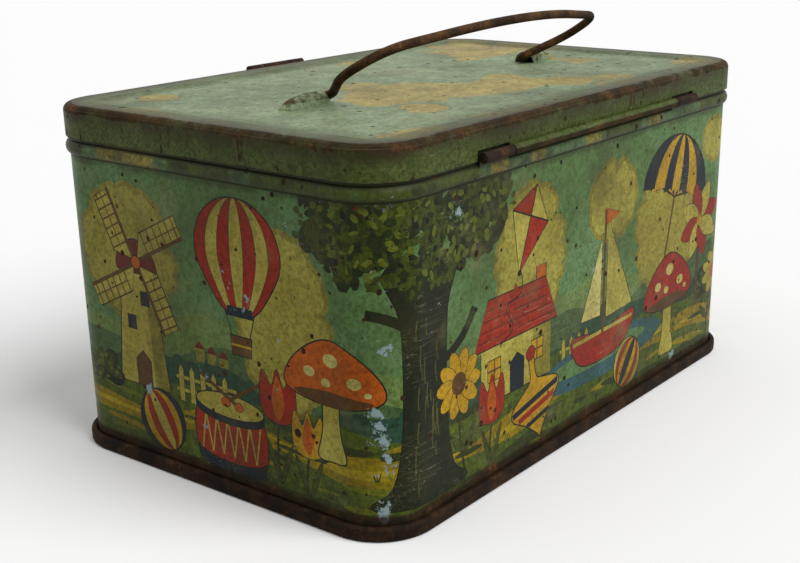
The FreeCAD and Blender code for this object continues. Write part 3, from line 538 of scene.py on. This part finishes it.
def oval(x, z, wide, high, turn=0.0, count=22):
    """An oval outline of half-widths wide and high."""
    c, s = math.cos(turn), math.sin(turn)
    angles = [2 * math.pi * k / count for k in range(count)]
    spots = [(wide * math.cos(a), high * math.sin(a)) for a in angles]
    return [(x + p * c - q * s, z + p * s + q * c) for p, q in spots]


def placed(points, x, z, size=1.0, turn=0.0):
    """The points scaled and turned about their origin, then moved to x, z."""
    c, s = math.cos(turn) * size, math.sin(turn) * size
    return [(x + p * c - q * s, z + p * s + q * c) for p, q in points]


def half_turn(steps):
    """Angles from 0 to half a turn."""
    return [math.pi * k / steps for k in range(steps + 1)]


def mirrored(half):
    """A closed outline from its right half, given from foot to head."""
    return half + [(-x, z) for x, z in reversed(half) if abs(x) > 1e-6]


def bar(x0, z0, x1, z1, width):
    """A straight strip between two places."""
    run = math.hypot(x1 - x0, z1 - z0)
    a, b = (z0 - z1) / run * width / 2, (x1 - x0) / run * width / 2
    return [(x0 + a, z0 + b), (x0 - a, z0 - b), (x1 - a, z1 - b), (x1 + a, z1 + b)]


def upright(x, z, half, high):
    """An upright block over a place on its foot."""
    return [(x - half, z), (x + half, z), (x + half, z + high), (x - half, z + high)]


def sweep(x0, z0, x1, z1, sag, count=9):
    """Points along a shallow bow between two places."""
    run = math.hypot(x1 - x0, z1 - z0)
    made = []
    for k in range(count):
        t = k / (count - 1)
        lift = 4 * sag * t * (1 - t)
        made.append((x0 + (x1 - x0) * t + (z0 - z1) / run * lift,
                     z0 + (z1 - z0) * t + (x1 - x0) / run * lift))
    return made


def draw_cloud(picture, x, z, wide, high):
    """One broad mass with a scalloped edge and a paler middle."""
    many = int((wide + high) / 5)
    puffs = []
    for k in range(many):
        a = 2 * math.pi * (k + draw.uniform(-0.25, 0.25)) / many
        radius = draw.uniform(4.0, 7.0)
        puffs.append((x + (wide / 2 - radius) * math.cos(a),
                      z + (high / 2 - radius) * math.sin(a), radius))
    for inset, ink in ((0.0, "cloud"), (1.5, "bright_cloud")):
        for px, pz, radius in puffs:
            picture.lay(oval(px, pz, radius - inset, radius - inset, count=22), ink)
        picture.lay(oval(x, z, wide / 2 - 4 - inset, high / 2 - 4 - inset, count=30), ink)


def draw_land(picture):
    """Two ranges of hills, the meadow, its hollows and the yellow path."""
    beyond, step = 6, 3.0
    span = [-FAR_END - beyond + k * step for k in range(int((PERIMETER + 2 * beyond) / step) + 2)]
    turn = 2 * math.pi / PERIMETER

    def wave(u, base, *parts):
        """A height that closes on itself once round: each part is size, waves and phase."""
        return base + sum(size * math.sin(turn * many * u + phase) for size, many, phase in parts)

    def band(low, high, ink):
        top = [(u, high(u)) for u in span]
        picture.shapes.append((top + [(u, low(u)) for u in reversed(span)], ink))

    def below(_):
        return PRINT_FOOT - 1

    band(below, lambda u: wave(u, 45, (3, 5, 1.0), (2.2, 11, 2.0)), "low_sky")
    band(below, lambda u: wave(u, 38, (3, 6, 0.4), (1.8, 13, 1.1)), "far_hill")
    band(below, lambda u: wave(u, 33, (3.2, 7, 2.2), (1.5, 16, 0.3)), "hill")
    band(below, lambda u: wave(u, 27.5, (2.2, 5, 0.2), (1.2, 12, 2.7)), "grass")
    for _ in range(70):
        u = draw.uniform(-FAR_END, FAR_END)
        z = wave(u, 32.5, (3.2, 7, 2.2), (1.5, 16, 0.3)) + draw.uniform(-0.5, 1.0)
        picture.lay(oval(u, z, draw.uniform(1.0, 2.4), draw.uniform(0.8, 1.8), count=10), "hill")
    band(lambda u: wave(u, 14.5, (2.6, 4, 0.9), (1.3, 9, 0.2)),
         lambda u: wave(u, 20.0, (2.6, 4, 0.6), (1.8, 11, 1.2)), "path")
    band(lambda u: wave(u, 16.8, (2.6, 4, 0.8), (1.3, 9, 0.4)),
         lambda u: wave(u, 18.4, (2.6, 4, 0.7), (1.5, 10, 0.9)), "light_path")
    band(below, lambda u: wave(u, 7.5, (1.0, 6, 0.9), (0.8, 17, 0.2)), "dark_grass")
    for _ in range(110):
        u, z = draw.uniform(-FAR_END, FAR_END), draw.uniform(6, 26)
        wide = draw.uniform(3, 12)
        ink = draw.choice(("dark_grass", "dark_grass", "light_grass", "path"))
        picture.lay(oval(u, z, wide, draw.uniform(0.5, 1.3), draw.uniform(-0.1, 0.1), 14), ink)
    for _ in range(260):
        u, z = draw.uniform(-FAR_END, FAR_END), draw.uniform(5, 27)
        ink = draw.choice(("dark_grass", "line", "light_grass", "dark_grass"))
        for lean in (-0.7, 0.0, 0.8):
            tall = draw.uniform(1.6, 3.8)
            picture.lay([(u - 0.25 + lean * 0.5, z), (u + 0.25 + lean * 0.5, z),
                         (u + lean * 1.6, z + tall)], ink)


def draw_tree(picture, x, z, high, wide):
    """A dark trunk with crooked boughs and a broad stippled crown."""
    drawn_high = 42
    trunk = mirrored([(8.5, 0), (6.0, 3), (4.6, 9), (4.2, 18), (4.6, 27), (6.4, 34)])
    picture.keyed(placed(smooth(trunk), x, z, high / drawn_high), "bark")
    for side, lift, reach, sag in ((-1, 22, 17, 2.5), (1, 19, 20, -3), (-1, 29, 10, 1),
                                   (1, 30, 12, -1.5)):
        start = (x + side * 1.5, z + lift * high / drawn_high)
        bough = sweep(*start, x + side * reach, start[1] + 11, sag * side)
        picture.stroke(bough, 2.6, "bark")
    for _ in range(26):
        s = draw.uniform(-4.2, 4.2)
        low = draw.uniform(1, 24) * high / drawn_high
        ink = draw.choice(("light_bark", "light_bark", "line"))
        groove = sweep(x + s * 1.1, z + low, x + s, z + low + draw.uniform(3, 9), 0.3)
        picture.stroke(groove, 0.4, ink)
    for ink, many, size, spread in (("dark_leaf", 80, 5.2, 0.96), ("leaf", 150, 2.6, 0.96),
                                    ("line", 90, 1.2, 1.0), ("dark_leaf", 100, 1.6, 1.0),
                                    ("light_leaf", 120, 1.3, 0.9), ("leaf", 130, 1.3, 1.06)):
        for _ in range(many):
            a, reach = draw.uniform(0, 2 * math.pi), draw.uniform(0, 1) ** 0.5 * spread
            px, pz = x + wide / 2 * reach * math.cos(a), z + high - 4 + 17 * reach * math.sin(a)
            turn = draw.uniform(0, 3.1)
            long, broad = size * draw.uniform(0.7, 1.2), size * draw.uniform(0.35, 0.75)
            picture.lay(oval(px, pz, long, broad, turn, 9), ink)


def draw_bush(picture, x, z, wide, high):
    for ink, many, grow in (("line", 9, 1.05), ("dark_leaf", 9, 1.0), ("leaf", 20, 0.5),
                            ("light_leaf", 16, 0.3)):
        for _ in range(many):
            a, reach = draw.uniform(0, math.pi), draw.uniform(0, 1) ** 0.5
            radius = draw.uniform(2.2, 3.4) * grow
            px, pz = x + wide / 2 * reach * math.cos(a), z + high * reach * math.sin(a) * 0.8
            picture.lay(oval(px, pz, radius, radius * 0.8, count=12), ink)


def draw_windmill(picture, x, z, size):
    motif = Motif(picture, x, z, size)
    motif.keyed([(-8, 0), (8, 0), (5, 27), (-5, 27)], "cream")
    motif.lay([(3.5, 0), (8, 0), (5, 27), (2.4, 27)], "cloud")
    motif.keyed(smooth(mirrored([(0, 26.2), (6.2, 26.6), (4.8, 31), (0, 33.6)])), "deep_red")
    motif.keyed(mirrored([(2.2, 0), (2.2, 6), (0, 8)]), "brown")
    for px, pz in ((-2.8, 13), (2.0, 19)):
        motif.keyed(upright(px, pz, 1.2, 3), "navy")
    for quarter in range(4):
        turn = 0.45 + quarter * math.pi / 2
        sail = placed([(1.0, 0.4), (17, 0.4), (17, 5.2), (4.5, 5.2)], 0, 28.5, 1, turn)
        motif.keyed(sail, "cream")
        laths = [bar(5 + rung * 2.2, 0.4, 5 + rung * 2.2, 5.2, 0.35) for rung in range(6)]
        laths += [bar(0, 0.2, 17.4, 0.2, 0.9), bar(4.5, 2.8, 17, 2.8, 0.3)]
        for lath in laths:
            motif.lay(placed(lath, 0, 28.5, 1, turn), "brown")
    motif.keyed(oval(0, 28.5, 1.4, 1.4), "orange")


def draw_cottage(picture, x, z, size):
    motif = Motif(picture, x, z, size)
    motif.keyed(upright(8.75, 15, 1.75, 10), "orange")
    motif.keyed(upright(0, 0, 13, 13), "cream")
    motif.lay([(6, 0), (13, 0), (13, 13), (6, 13)], "cloud")
    motif.keyed([(-15.5, 12), (15.5, 12), (10.5, 22), (-10.5, 22)], "red")
    for row in range(4):
        low = 13.6 + row * 2.1
        inset = (low - 12) * 0.5
        motif.lay(bar(-15 + inset, low, 15 - inset, low, 0.35), "deep_red")
    motif.keyed(mirrored([(2.4, 0), (2.4, 6.4), (0, 8)]), "navy")
    for px in (-8.4, 7.6):
        motif.keyed(upright(px, 4.6, 2.2, 4.4), "yellow")
        motif.lay(bar(px, 4.6, px, 9, 0.4), "brown")
        motif.lay(bar(px - 2.2, 6.8, px + 2.2, 6.8, 0.4), "brown")


def draw_balloon(picture, x, z, size, first, second):
    motif = Motif(picture, x, z, size)
    for px in (-3.2, 3.2):
        motif.lay(bar(px * 1.5, 11, px * 0.8, 4, 0.3), "line")
    motif.keyed([(-2.8, 0), (2.8, 0), (3.2, 4.2), (-3.2, 4.2)], "brown")
    motif.lay(bar(-3, 2.2, 3, 2.2, 0.5), "yellow")
    line = KEY_LINE
    for wide, ink in ((12.5, first), (9.2, second), (5.6, first), (1.9, second)):
        gore = [(wide * 0.3, 9.6), (wide * 0.72, 15), (wide, 22), (wide * 0.86, 29),
                (wide * 0.45, 33.4), (0, 34.6)]
        motif.keyed(smooth(mirrored(gore)), ink, line)
        line = 0.18
    motif.keyed([(-4, 9), (4, 9), (3.6, 10.6), (-3.6, 10.6)], "navy")


def draw_kite(picture, x, z, size, turn, first, second):
    motif = Motif(picture, x, z, size, turn)
    closed = [(0, -11), (2.4, -15), (-2.4, -19), (2.2, -23), (-1.5, -27), (-1.5, -27.01)]
    tail = smooth(closed, 4)[:18]
    motif.stroke(tail, 0.45, "line")
    for px, pz in ((1.8, -14.5), (-1.8, -19), (1.4, -23)):
        for side in (-1, 1):
            bow = [(px, pz), (px + 2.6 * side, pz + 1.2), (px + 2.6 * side, pz - 1.2)]
            motif.keyed(bow, "red", THIN_LINE)
    motif.keyed([(0, -11), (7.5, 2), (0, 9), (-7.5, 2)], first)
    motif.lay([(0, -11), (7.5, 2), (0, 2)], second)
    motif.lay([(0, 9), (-7.5, 2), (0, 2)], second)
    motif.lay(bar(-7.5, 2, 7.5, 2, 0.4), "line")
    motif.lay(bar(0, -11, 0, 9, 0.4), "line")


def draw_drum(picture, x, z, size):
    motif = Motif(picture, x, z, size)
    motif.keyed(smooth([(-10, 1), (-10, 13), (0, 14), (10, 13), (10, 1), (0, -1.8)], 6), "red")
    cords = 6
    for k in range(cords):
        px = -9.4 + k * 3.4
        zag = [(px, 2.4), (px + 1.7, 11.4), (px + 3.4, 2.4)]
        if k == cords - 1:
            zag.pop()
        for a, b in zip(zag, zag[1:]):
            motif.lay(bar(*a, *b, 0.45), "cream")
    for low in (-1.0, 11.0):
        hoop = [(10.4 * math.cos(a), low + 2 - 2.6 * math.sin(a)) for a in half_turn(14)]
        hoop += [(p, q + 2.3) for p, q in reversed(hoop)]
        motif.keyed(hoop, "navy")
    motif.keyed(oval(0, 14.6, 10.4, 2.7), "cream")
    for a, b in (((-9, 21), (3, 15)), ((10, 22), (-1, 15.4))):
        motif.lay(bar(*a, *b, 0.9), "brown")
        motif.keyed(oval(*b, 1.3, 1.0), "orange", THIN_LINE)


def draw_ball(picture, x, z, radius, turn, inks):
    picture.keyed(oval(x, z, radius, radius, count=32), inks[0])
    for wide, ink in ((0.78, inks[1]), (0.5, inks[2]), (0.2, inks[3])):
        picture.keyed(oval(x, z, radius * wide, radius, turn, 28), ink, 0.12)


def draw_top(picture, x, z, size, turn):
    motif = Motif(picture, x, z, size, turn)
    body = [(0, 0), (1.2, 1.6), (5.5, 6), (11, 10.5), (10.4, 13.4), (4.5, 16), (1.3, 18),
            (1.1, 25), (0, 26)]
    motif.keyed(smooth(mirrored(body)), "yellow")
    for half, low, high, ink in ((8.6, 8.2, 9.9, "red"), (10.9, 10.9, 12.6, "navy"),
                                 (5.2, 5.0, 6.4, "navy")):
        motif.lay([(-half, low), (half, low), (half + 0.4, high), (-half - 0.4, high)], ink)
    motif.keyed(oval(0, 25.6, 2.1, 1.9), "red", THIN_LINE)


def draw_boat(picture, x, z, size):
    motif = Motif(picture, x, z, size)
    picture.lay(oval(x, z, 26 * size, 4.6 * size), "blue")
    picture.lay(oval(x - 2, z + 1, 20 * size, 2.2 * size), "sky")
    motif.keyed(smooth([(-12, 6.5), (-9, 0.5), (0, -0.8), (9, 0.8), (13, 7), (0, 5.4)], 5), "red")
    motif.lay(bar(-11.5, 5.2, 12.3, 5.6, 0.8), "cream")
    motif.lay(bar(0, 5, 0, 31, 0.9), "brown")
    motif.keyed([(1.2, 8), (12, 8.6), (1.2, 29)], "cream")
    motif.keyed([(-1.2, 9), (-8.6, 9.4), (-1.2, 25)], "white")
    motif.keyed([(0.4, 31), (6, 29.4), (0.4, 27.8)], "orange", THIN_LINE)


def draw_umbrella(picture, x, z, size, turn):
    motif = Motif(picture, x, z, size, turn)
    motif.stroke([(0, 0), (0, 10), (0, 20), (0, 30)], 1.0, "brown")
    motif.stroke([(0, 1), (-0.6, -1.2), (-2.4, -2), (-4, -0.8), (-4.2, 1)], 1.0, "brown")
    line = KEY_LINE
    for wide, ink in ((15, "navy"), (10, "yellow"), (5.4, "navy"), (1.8, "yellow")):
        dome = [(wide * math.cos(a), 20 + 13 * math.sin(a)) for a in half_turn(18)]
        dome += [(-wide * 0.5, 21.2), (0, 19.6), (wide * 0.5, 21.2)]
        motif.keyed(dome, ink, line)
        line = 0.15


def draw_toadstool(picture, x, z, size, ink):
    motif = Motif(picture, x, z, size)
    motif.keyed(smooth(mirrored([(0, -0.4), (2.6, 0), (1.7, 4), (1.5, 9), (2.0, 11)])), "cream")
    cap = [(-8.6, 10), (-6.6, 15), (0, 18.4), (6.6, 15), (8.6, 10), (0, 8.4)]
    motif.keyed(smooth(cap, 6), ink)
    motif.lay(smooth([(-7.4, 9.6), (0, 8.2), (7.4, 9.6), (0, 10.6)], 5), "brown")
    for px, pz, r in ((-4, 13, 1.1), (0.2, 15.4, 1.4), (4.3, 12.6, 1.2), (-0.8, 11.8, 0.9),
                      (6.4, 11, 0.6)):
        motif.lay(oval(px, pz, r, r * 0.75, count=12), "white")


def draw_flower(picture, x, z, high, radius, petals, ink, heart):
    lean = draw.uniform(-3, 3)
    picture.stroke(sweep(x, z, x + lean, z + high, 1.2), 0.8, "dark_leaf")
    for side in (-1, 1):
        leaf = smooth([(0, 0), (4, 2.2), (9, 1.2), (4, -0.6)], 4)
        leaf = placed(leaf, x, z + high * 0.25, 0.9, math.pi / 2 - side * 0.7)
        picture.keyed(leaf, "leaf", THIN_LINE)
    for k in range(petals):
        a = 2 * math.pi * k / petals
        px, pz = x + lean + radius * 0.62 * math.cos(a), z + high + radius * 0.62 * math.sin(a)
        picture.keyed(oval(px, pz, radius * 0.5, radius * 0.26, a, 12), ink, 0.18)
    picture.keyed(oval(x + lean, z + high, radius * 0.34, radius * 0.34, count=14), heart, 0.18)


def draw_tulip(picture, x, z, high, size, ink, inside):
    picture.stroke(sweep(x, z, x, z + high, 0.8), 0.8, "dark_leaf")
    for side in (-1, 1):
        leaf = smooth([(0, 0), (2.6, 5), (4.6, 12), (1.6, 7)], 4)
        picture.keyed([(x + px * side, z + pz) for px, pz in leaf], "leaf", THIN_LINE)
    motif = Motif(picture, x, z + high, size)
    cup = [(0, 0), (3.4, 1.2), (4.2, 5), (3.4, 9.4), (1.4, 6.6), (0, 10), (-1.4, 6.6),
           (-3.4, 9.4), (-4.2, 5), (-3.4, 1.2)]
    motif.keyed(smooth(cup, 4), ink, 0.25)
    motif.lay(smooth([(0, 0.6), (1.5, 4), (0, 8.6), (-1.5, 4)], 4), inside)


def draw_pinwheel(picture, x, z, size):
    Motif(picture, x, z, size).keyed(bar(0, -22, 0, 0, 1.0), "brown", THIN_LINE)
    for k in range(8):
        vane = smooth([(0, 0), (5, -1), (9.5, 3), (4, 4.2)], 3)
        Motif(picture, x, z, size, k * math.pi / 4).keyed(vane, ("red", "cream")[k % 2], THIN_LINE)
    picture.keyed(oval(x, z, 1.4 * size, 1.4 * size), "yellow", THIN_LINE)


def draw_fence(picture, x, z, many):
    pitch = 4.2
    for level in (3.2, 6.8):
        rail = bar(x - 2, z + level, x + many * pitch, z + level + 0.3, 1.0)
        picture.keyed(rail, "cream", THIN_LINE)
    for k in range(many):
        px = x + k * pitch
        pale = [(px - 0.9, z), (px + 0.9, z), (px + 0.9, z + 9), (px, z + 10.4), (px - 0.9, z + 9)]
        picture.keyed(pale, "cream", THIN_LINE)


def draw_rooftops(picture, x, z, many):
    """A far village on the hills."""
    for k in range(many):
        px = x + k * 4.5
        tall = draw.uniform(2.4, 4.0)
        picture.lay(upright(px, z, 1.6, tall), "cloud")
        picture.lay([(px - 2.1, z + tall), (px + 2.1, z + tall), (px, z + tall + 2.2)], "deep_red")


# Each motif with its place along the wall from the scene's middle, and the rest it takes.
END_SCENE = (
    (draw_rooftops, -4, 36, 3),
    (draw_windmill, -27, 24, 1.25),
    (draw_bush, -45, 23, 16, 9),
    (draw_fence, -12, 23, 5),
    (draw_balloon, 12, 41, 1.2, "red", "cream"),
    (draw_drum, 6, 8, 1.2),
    (draw_tulip, 24, 8, 17, 1.5, "red", "orange"),
    (draw_tulip, 34, 6, 12, 1.3, "yellow", "orange"),
    (draw_toadstool, 42, 20, 1.7, "orange"),
    (draw_ball, -21, 15, 9.0, 0.5, ("navy", "yellow", "red", "cream")),
)
BACK_SCENE = (
    (draw_tree, -78, 8, 77, 74),
    (draw_cottage, -38, 25, 1.3),
    (draw_kite, -33, 70, 1.2, -0.35, "cream", "red"),
    (draw_fence, -14, 22, 4),
    (draw_boat, 8, 21, 1.45),
    (draw_umbrella, 44, 34, 1.45, -0.25),
    (draw_bush, 76, 24, 16, 9),
    (draw_pinwheel, 70, 50, 1.35),
    (draw_flower, -62, 9, 26, 8.5, 10, "yellow", "brown"),
    (draw_tulip, -50, 6, 13, 1.4, "red", "orange"),
    (draw_top, -26, 7, 1.05, 0.2),
    (draw_ball, 24, 14, 8.0, -0.6, ("cream", "red", "yellow", "navy")),
    (draw_toadstool, 50, 10, 1.8, "red"),
    (draw_flower, 80, 8, 22, 7.5, 9, "cream", "orange"),
)
FRONT_SCENE = (
    (draw_tree, -66, 8, 76, 66),
    (draw_windmill, 60, 25, 1.25),
    (draw_rooftops, 30, 37, 4),
    (draw_cottage, -32, 25, 1.3),
    (draw_balloon, 26, 42, 1.2, "navy", "yellow"),
    (draw_fence, 4, 23, 6),
    (draw_drum, 30, 8, 1.15),
    (draw_boat, -2, 15, 1.1),
    (draw_top, 50, 7, 1.0, -0.2),
    (draw_tulip, -48, 7, 15, 1.4, "yellow", "red"),
    (draw_toadstool, 76, 12, 1.6, "red"),
    (draw_flower, -86, 9, 24, 8.0, 10, "cream", "brown"),
    (draw_kite, -8, 72, 1.1, 0.4, "yellow", "navy"),
)


def compose():
    """The whole strip: sky, land, clouds, and one scene on each wall."""
    picture = Picture()
    sky = upright(0, PRINT_FOOT, FAR_END, PRINT_HEAD - PRINT_FOOT)
    picture.shapes.append((sky, "sky"))
    draw_land(picture)
    for x, z, wide, high in ((-30, 62, 40, 40), (27, 52, 34, 50), (116, 60, 36, 44),
                             (160, 68, 30, 26), (196, 54, 46, 48), (226, 76, 20, 16),
                             (272, 56, 34, 46), (318, 60, 30, 50), (376, 62, 34, 40),
                             (424, 58, 40, 46), (474, 70, 26, 24), (512, 54, 34, 44)):
        draw_cloud(picture, x, z, wide, high)
    for middle, scene in ((0, END_SCENE), (BACK, BACK_SCENE), (FRONT, FRONT_SCENE),
                          (FAR_END, END_SCENE)):
        for motif, along, *rest in scene:
            motif(picture, middle + along, *rest)
    return picture


def wall_place(u, z):
    """The point on the wall, and the wall's outward direction, for a place in the picture."""
    u = (u + END_FLAT) % PERIMETER
    straight = (END_FLAT * 2, SIDE_FLAT * 2, END_FLAT * 2, SIDE_FLAT * 2)
    heading = 0.0
    for side in range(4):
        if u <= straight[side] + ARC or side == 3:
            break
        u -= straight[side] + ARC
        heading += math.pi / 2
    half = straight[side] / 2
    depth = (HALF_LENGTH, HALF_WIDTH, HALF_LENGTH, HALF_WIDTH)[side] - CORNER
    turned = max(u - straight[side], 0.0) / CORNER
    along = min(u, straight[side]) - half
    out = CORNER + PRINT_PROUD
    local = (depth + out * math.cos(turned), along + out * math.sin(turned))
    c, s = math.cos(heading), math.sin(heading)
    facing = heading + turned
    point = ((local[0] * c - local[1] * s) * MM, (local[0] * s + local[1] * c) * MM, z * MM)
    return point, (math.cos(facing), math.sin(facing), 0.0)


def bend_lines():
    """Upright lines where the sheet starts, goes round and leaves each corner."""
    lines = []
    for side in range(4):
        start = (END_FLAT, BACK + SIDE_FLAT, FAR_END + END_FLAT, FRONT + SIDE_FLAT)[side]
        for step in range(CORNER_STEPS + 1):
            u = start + ARC * step / CORNER_STEPS
            lines.append(u if u < FAR_END else u - PERIMETER)
    return [u for u in lines if -FAR_END < u < FAR_END]


def covered(outline, spots):
    """Which of the spots the outline winds round."""
    x, z = spots[:, 0], spots[:, 1]
    winding = np.zeros(len(spots), int)
    for (x0, z0), (x1, z1) in zip(outline, outline[1:] + outline[:1]):
        if z0 == z1:
            continue
        crossing = x0 + (z - z0) * (x1 - x0) / (z1 - z0)
        upward = (z0 <= z) & (z < z1) & (x < crossing)
        downward = (z1 <= z) & (z < z0) & (x < crossing)
        winding += upward.astype(int) - downward.astype(int)
    return winding != 0


def top_inks(picture, spots):
    """For each spot, the number of the last shape laid over it, or -1."""
    order = np.full(len(spots), -1)
    for number, (outline, _) in enumerate(picture.shapes):
        corners = np.array(outline)
        low, high = corners.min(0), corners.max(0)
        near = np.nonzero(np.all((spots >= low) & (spots <= high), axis=1))[0]
        if len(near):
            order[near[covered(outline, spots[near])]] = number
    return order


def make_print(picture):
    """Cut the laid inks into one flat net, keep each face's top ink, and wrap it round the box."""
    points, edges = [], []
    for outline, _ in picture.shapes:
        first, count = len(points), len(outline)
        edges.extend((first + k, first + (k + 1) % count) for k in range(count))
        points.extend(Vector(spot) for spot in outline)
    for u in bend_lines():
        edges.append((len(points), len(points) + 1))
        points.extend((Vector((u, PRINT_FOOT)), Vector((u, PRINT_HEAD))))
    net, _, faces, _, _, _ = geometry.delaunay_2d_cdt(points, edges, [], 0, WELD, False)
    flat = np.array([(spot.x, spot.y) for spot in net])
    centres = flat[np.array(faces)].mean(axis=1)
    across, up = centres[:, 0], centres[:, 1]
    within = (abs(across) < FAR_END) & (up > PRINT_FOOT) & (up < PRINT_HEAD)
    order = top_inks(picture, centres)
    kept = [face for face, good in zip(faces, within) if good]
    inks = [picture.shapes[number][1] for number, good in zip(order, within) if good]
    used = sorted({corner for face in kept for corner in face})
    renumbered = {old: new for new, old in enumerate(used)}
    spots = [wall_place(net[old].x, net[old].y) for old in used]
    mesh = bpy.data.meshes.new("printed_wall")
    turned = [[renumbered[corner] for corner in face] for face in kept]
    mesh.from_pydata([point for point, _ in spots], [], turned)
    mesh.polygons.foreach_set("use_smooth", [True] * len(inks))
    mesh.normals_split_custom_set_from_vertices([normal for _, normal in spots])
    corners = [ink for face, ink in zip(kept, inks) for _ in face]
    mesh.attributes.new("ink", "FLOAT_COLOR", "CORNER")
    colours = [part for ink in corners for part in INKS[ink]]
    mesh.attributes["ink"].data.foreach_set("color", colours)
    mesh.attributes.new("dapple", "FLOAT", "CORNER")
    dapples = [DAPPLE.get(ink, 0.0) for ink in corners]
    mesh.attributes["dapple"].data.foreach_set("value", dapples)
    mesh.materials.append(MATERIALS["wall"])
    piece = bpy.data.objects.new("printed_wall", mesh)
    bpy.context.scene.collection.objects.link(piece)
    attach(piece, "body")


make_print(compose())


# ---------------------------------------------------------------------- stage and light
def seen_directly(tree):
    """1 for camera, glossy and transmission rays, and 0 for the rest."""
    path = tree.nodes.new("ShaderNodeLightPath")
    first, second = (tree.nodes.new("ShaderNodeMath") for _ in range(2))
    first.operation = second.operation = "MAXIMUM"
    tree.links.new(path.outputs["Is Camera Ray"], first.inputs[0])
    tree.links.new(path.outputs["Is Glossy Ray"], first.inputs[1])
    tree.links.new(first.outputs[0], second.inputs[0])
    tree.links.new(path.outputs["Is Transmission Ray"], second.inputs[1])
    return second.outputs[0]


def make_floor():
    """A white floor, which throws back less light than it shows."""
    half = 3.0
    corners = [(-half, -half, 0), (half, -half, 0), (half, half, 0), (-half, half, 0)]
    mesh = bpy.data.meshes.new("floor")
    mesh.from_pydata(corners, [], [(0, 1, 2, 3)])
    floor = bpy.data.objects.new("floor", mesh)
    bpy.context.scene.collection.objects.link(floor)
    paint = Paint("floor_white")
    colour = paint.mix(seen_directly(paint.tree), (0.5, 0.5, 0.5, 1), (0.95, 0.95, 0.95, 1))
    mesh.materials.append(paint.finish(colour, 0.9, 0.0, 0.2))


def make_world():
    world = bpy.data.worlds.new("studio")
    bpy.context.scene.world = world
    world.use_nodes = True
    tree = world.node_tree
    background = tree.nodes["Background"]
    background.inputs["Color"].default_value = (1, 1, 1, 1)
    strength = tree.nodes.new("ShaderNodeMapRange")
    tree.links.new(seen_directly(tree), strength.inputs["Value"])
    strength.inputs["To Min"].default_value = 0.32
    strength.inputs["To Max"].default_value = 1.0
    tree.links.new(strength.outputs[0], background.inputs["Strength"])


def add_sun(name, azimuth, elevation, spread, strength):
    """A wide soft light from infinitely far, so that the whole floor gets the same."""
    data = bpy.data.lights.new(name, "SUN")
    data.angle = math.radians(spread)
    data.energy = strength
    light = bpy.data.objects.new(name, data)
    a, e = math.radians(azimuth), math.radians(elevation)
    towards = Vector((math.cos(a) * math.cos(e), math.sin(a) * math.cos(e), math.sin(e)))
    light.rotation_euler = towards.to_track_quat("Z", "Y").to_euler()
    bpy.context.scene.collection.objects.link(light)


def add_camera():
    """The photograph's view: from the hinge side's left, a little above the lid."""
    yaw, pitch, roll = 3.798, -0.331, -0.012
    eye = Vector((0.3118, 0.2396, 0.1552))
    flat = math.cos(pitch)
    forward = Vector((math.cos(yaw) * flat, math.sin(yaw) * flat, math.sin(pitch)))
    level = Vector((math.sin(yaw), -math.cos(yaw), 0))
    raised = level.cross(forward)
    right = level * math.cos(roll) + raised * math.sin(roll)
    up = right.cross(forward)
    data = bpy.data.cameras.new("camera")
    data.sensor_width = 36.0
    data.lens = 57.9
    data.shift_x = -0.0322
    data.shift_y = 0.0574
    data.clip_start = 0.01
    camera = bpy.data.objects.new("camera", data)
    turn = Matrix((right, up, -forward)).transposed()
    camera.matrix_world = Matrix.Translation(eye) @ turn.to_4x4()
    bpy.context.scene.collection.objects.link(camera)
    bpy.context.scene.camera = camera


make_floor()
make_world()
add_sun("key", 100, 46, 45, 2.4)
add_sun("top", -60, 75, 60, 0.5)
add_camera()
bpy.context.scene.view_settings.view_transform = "Standard"
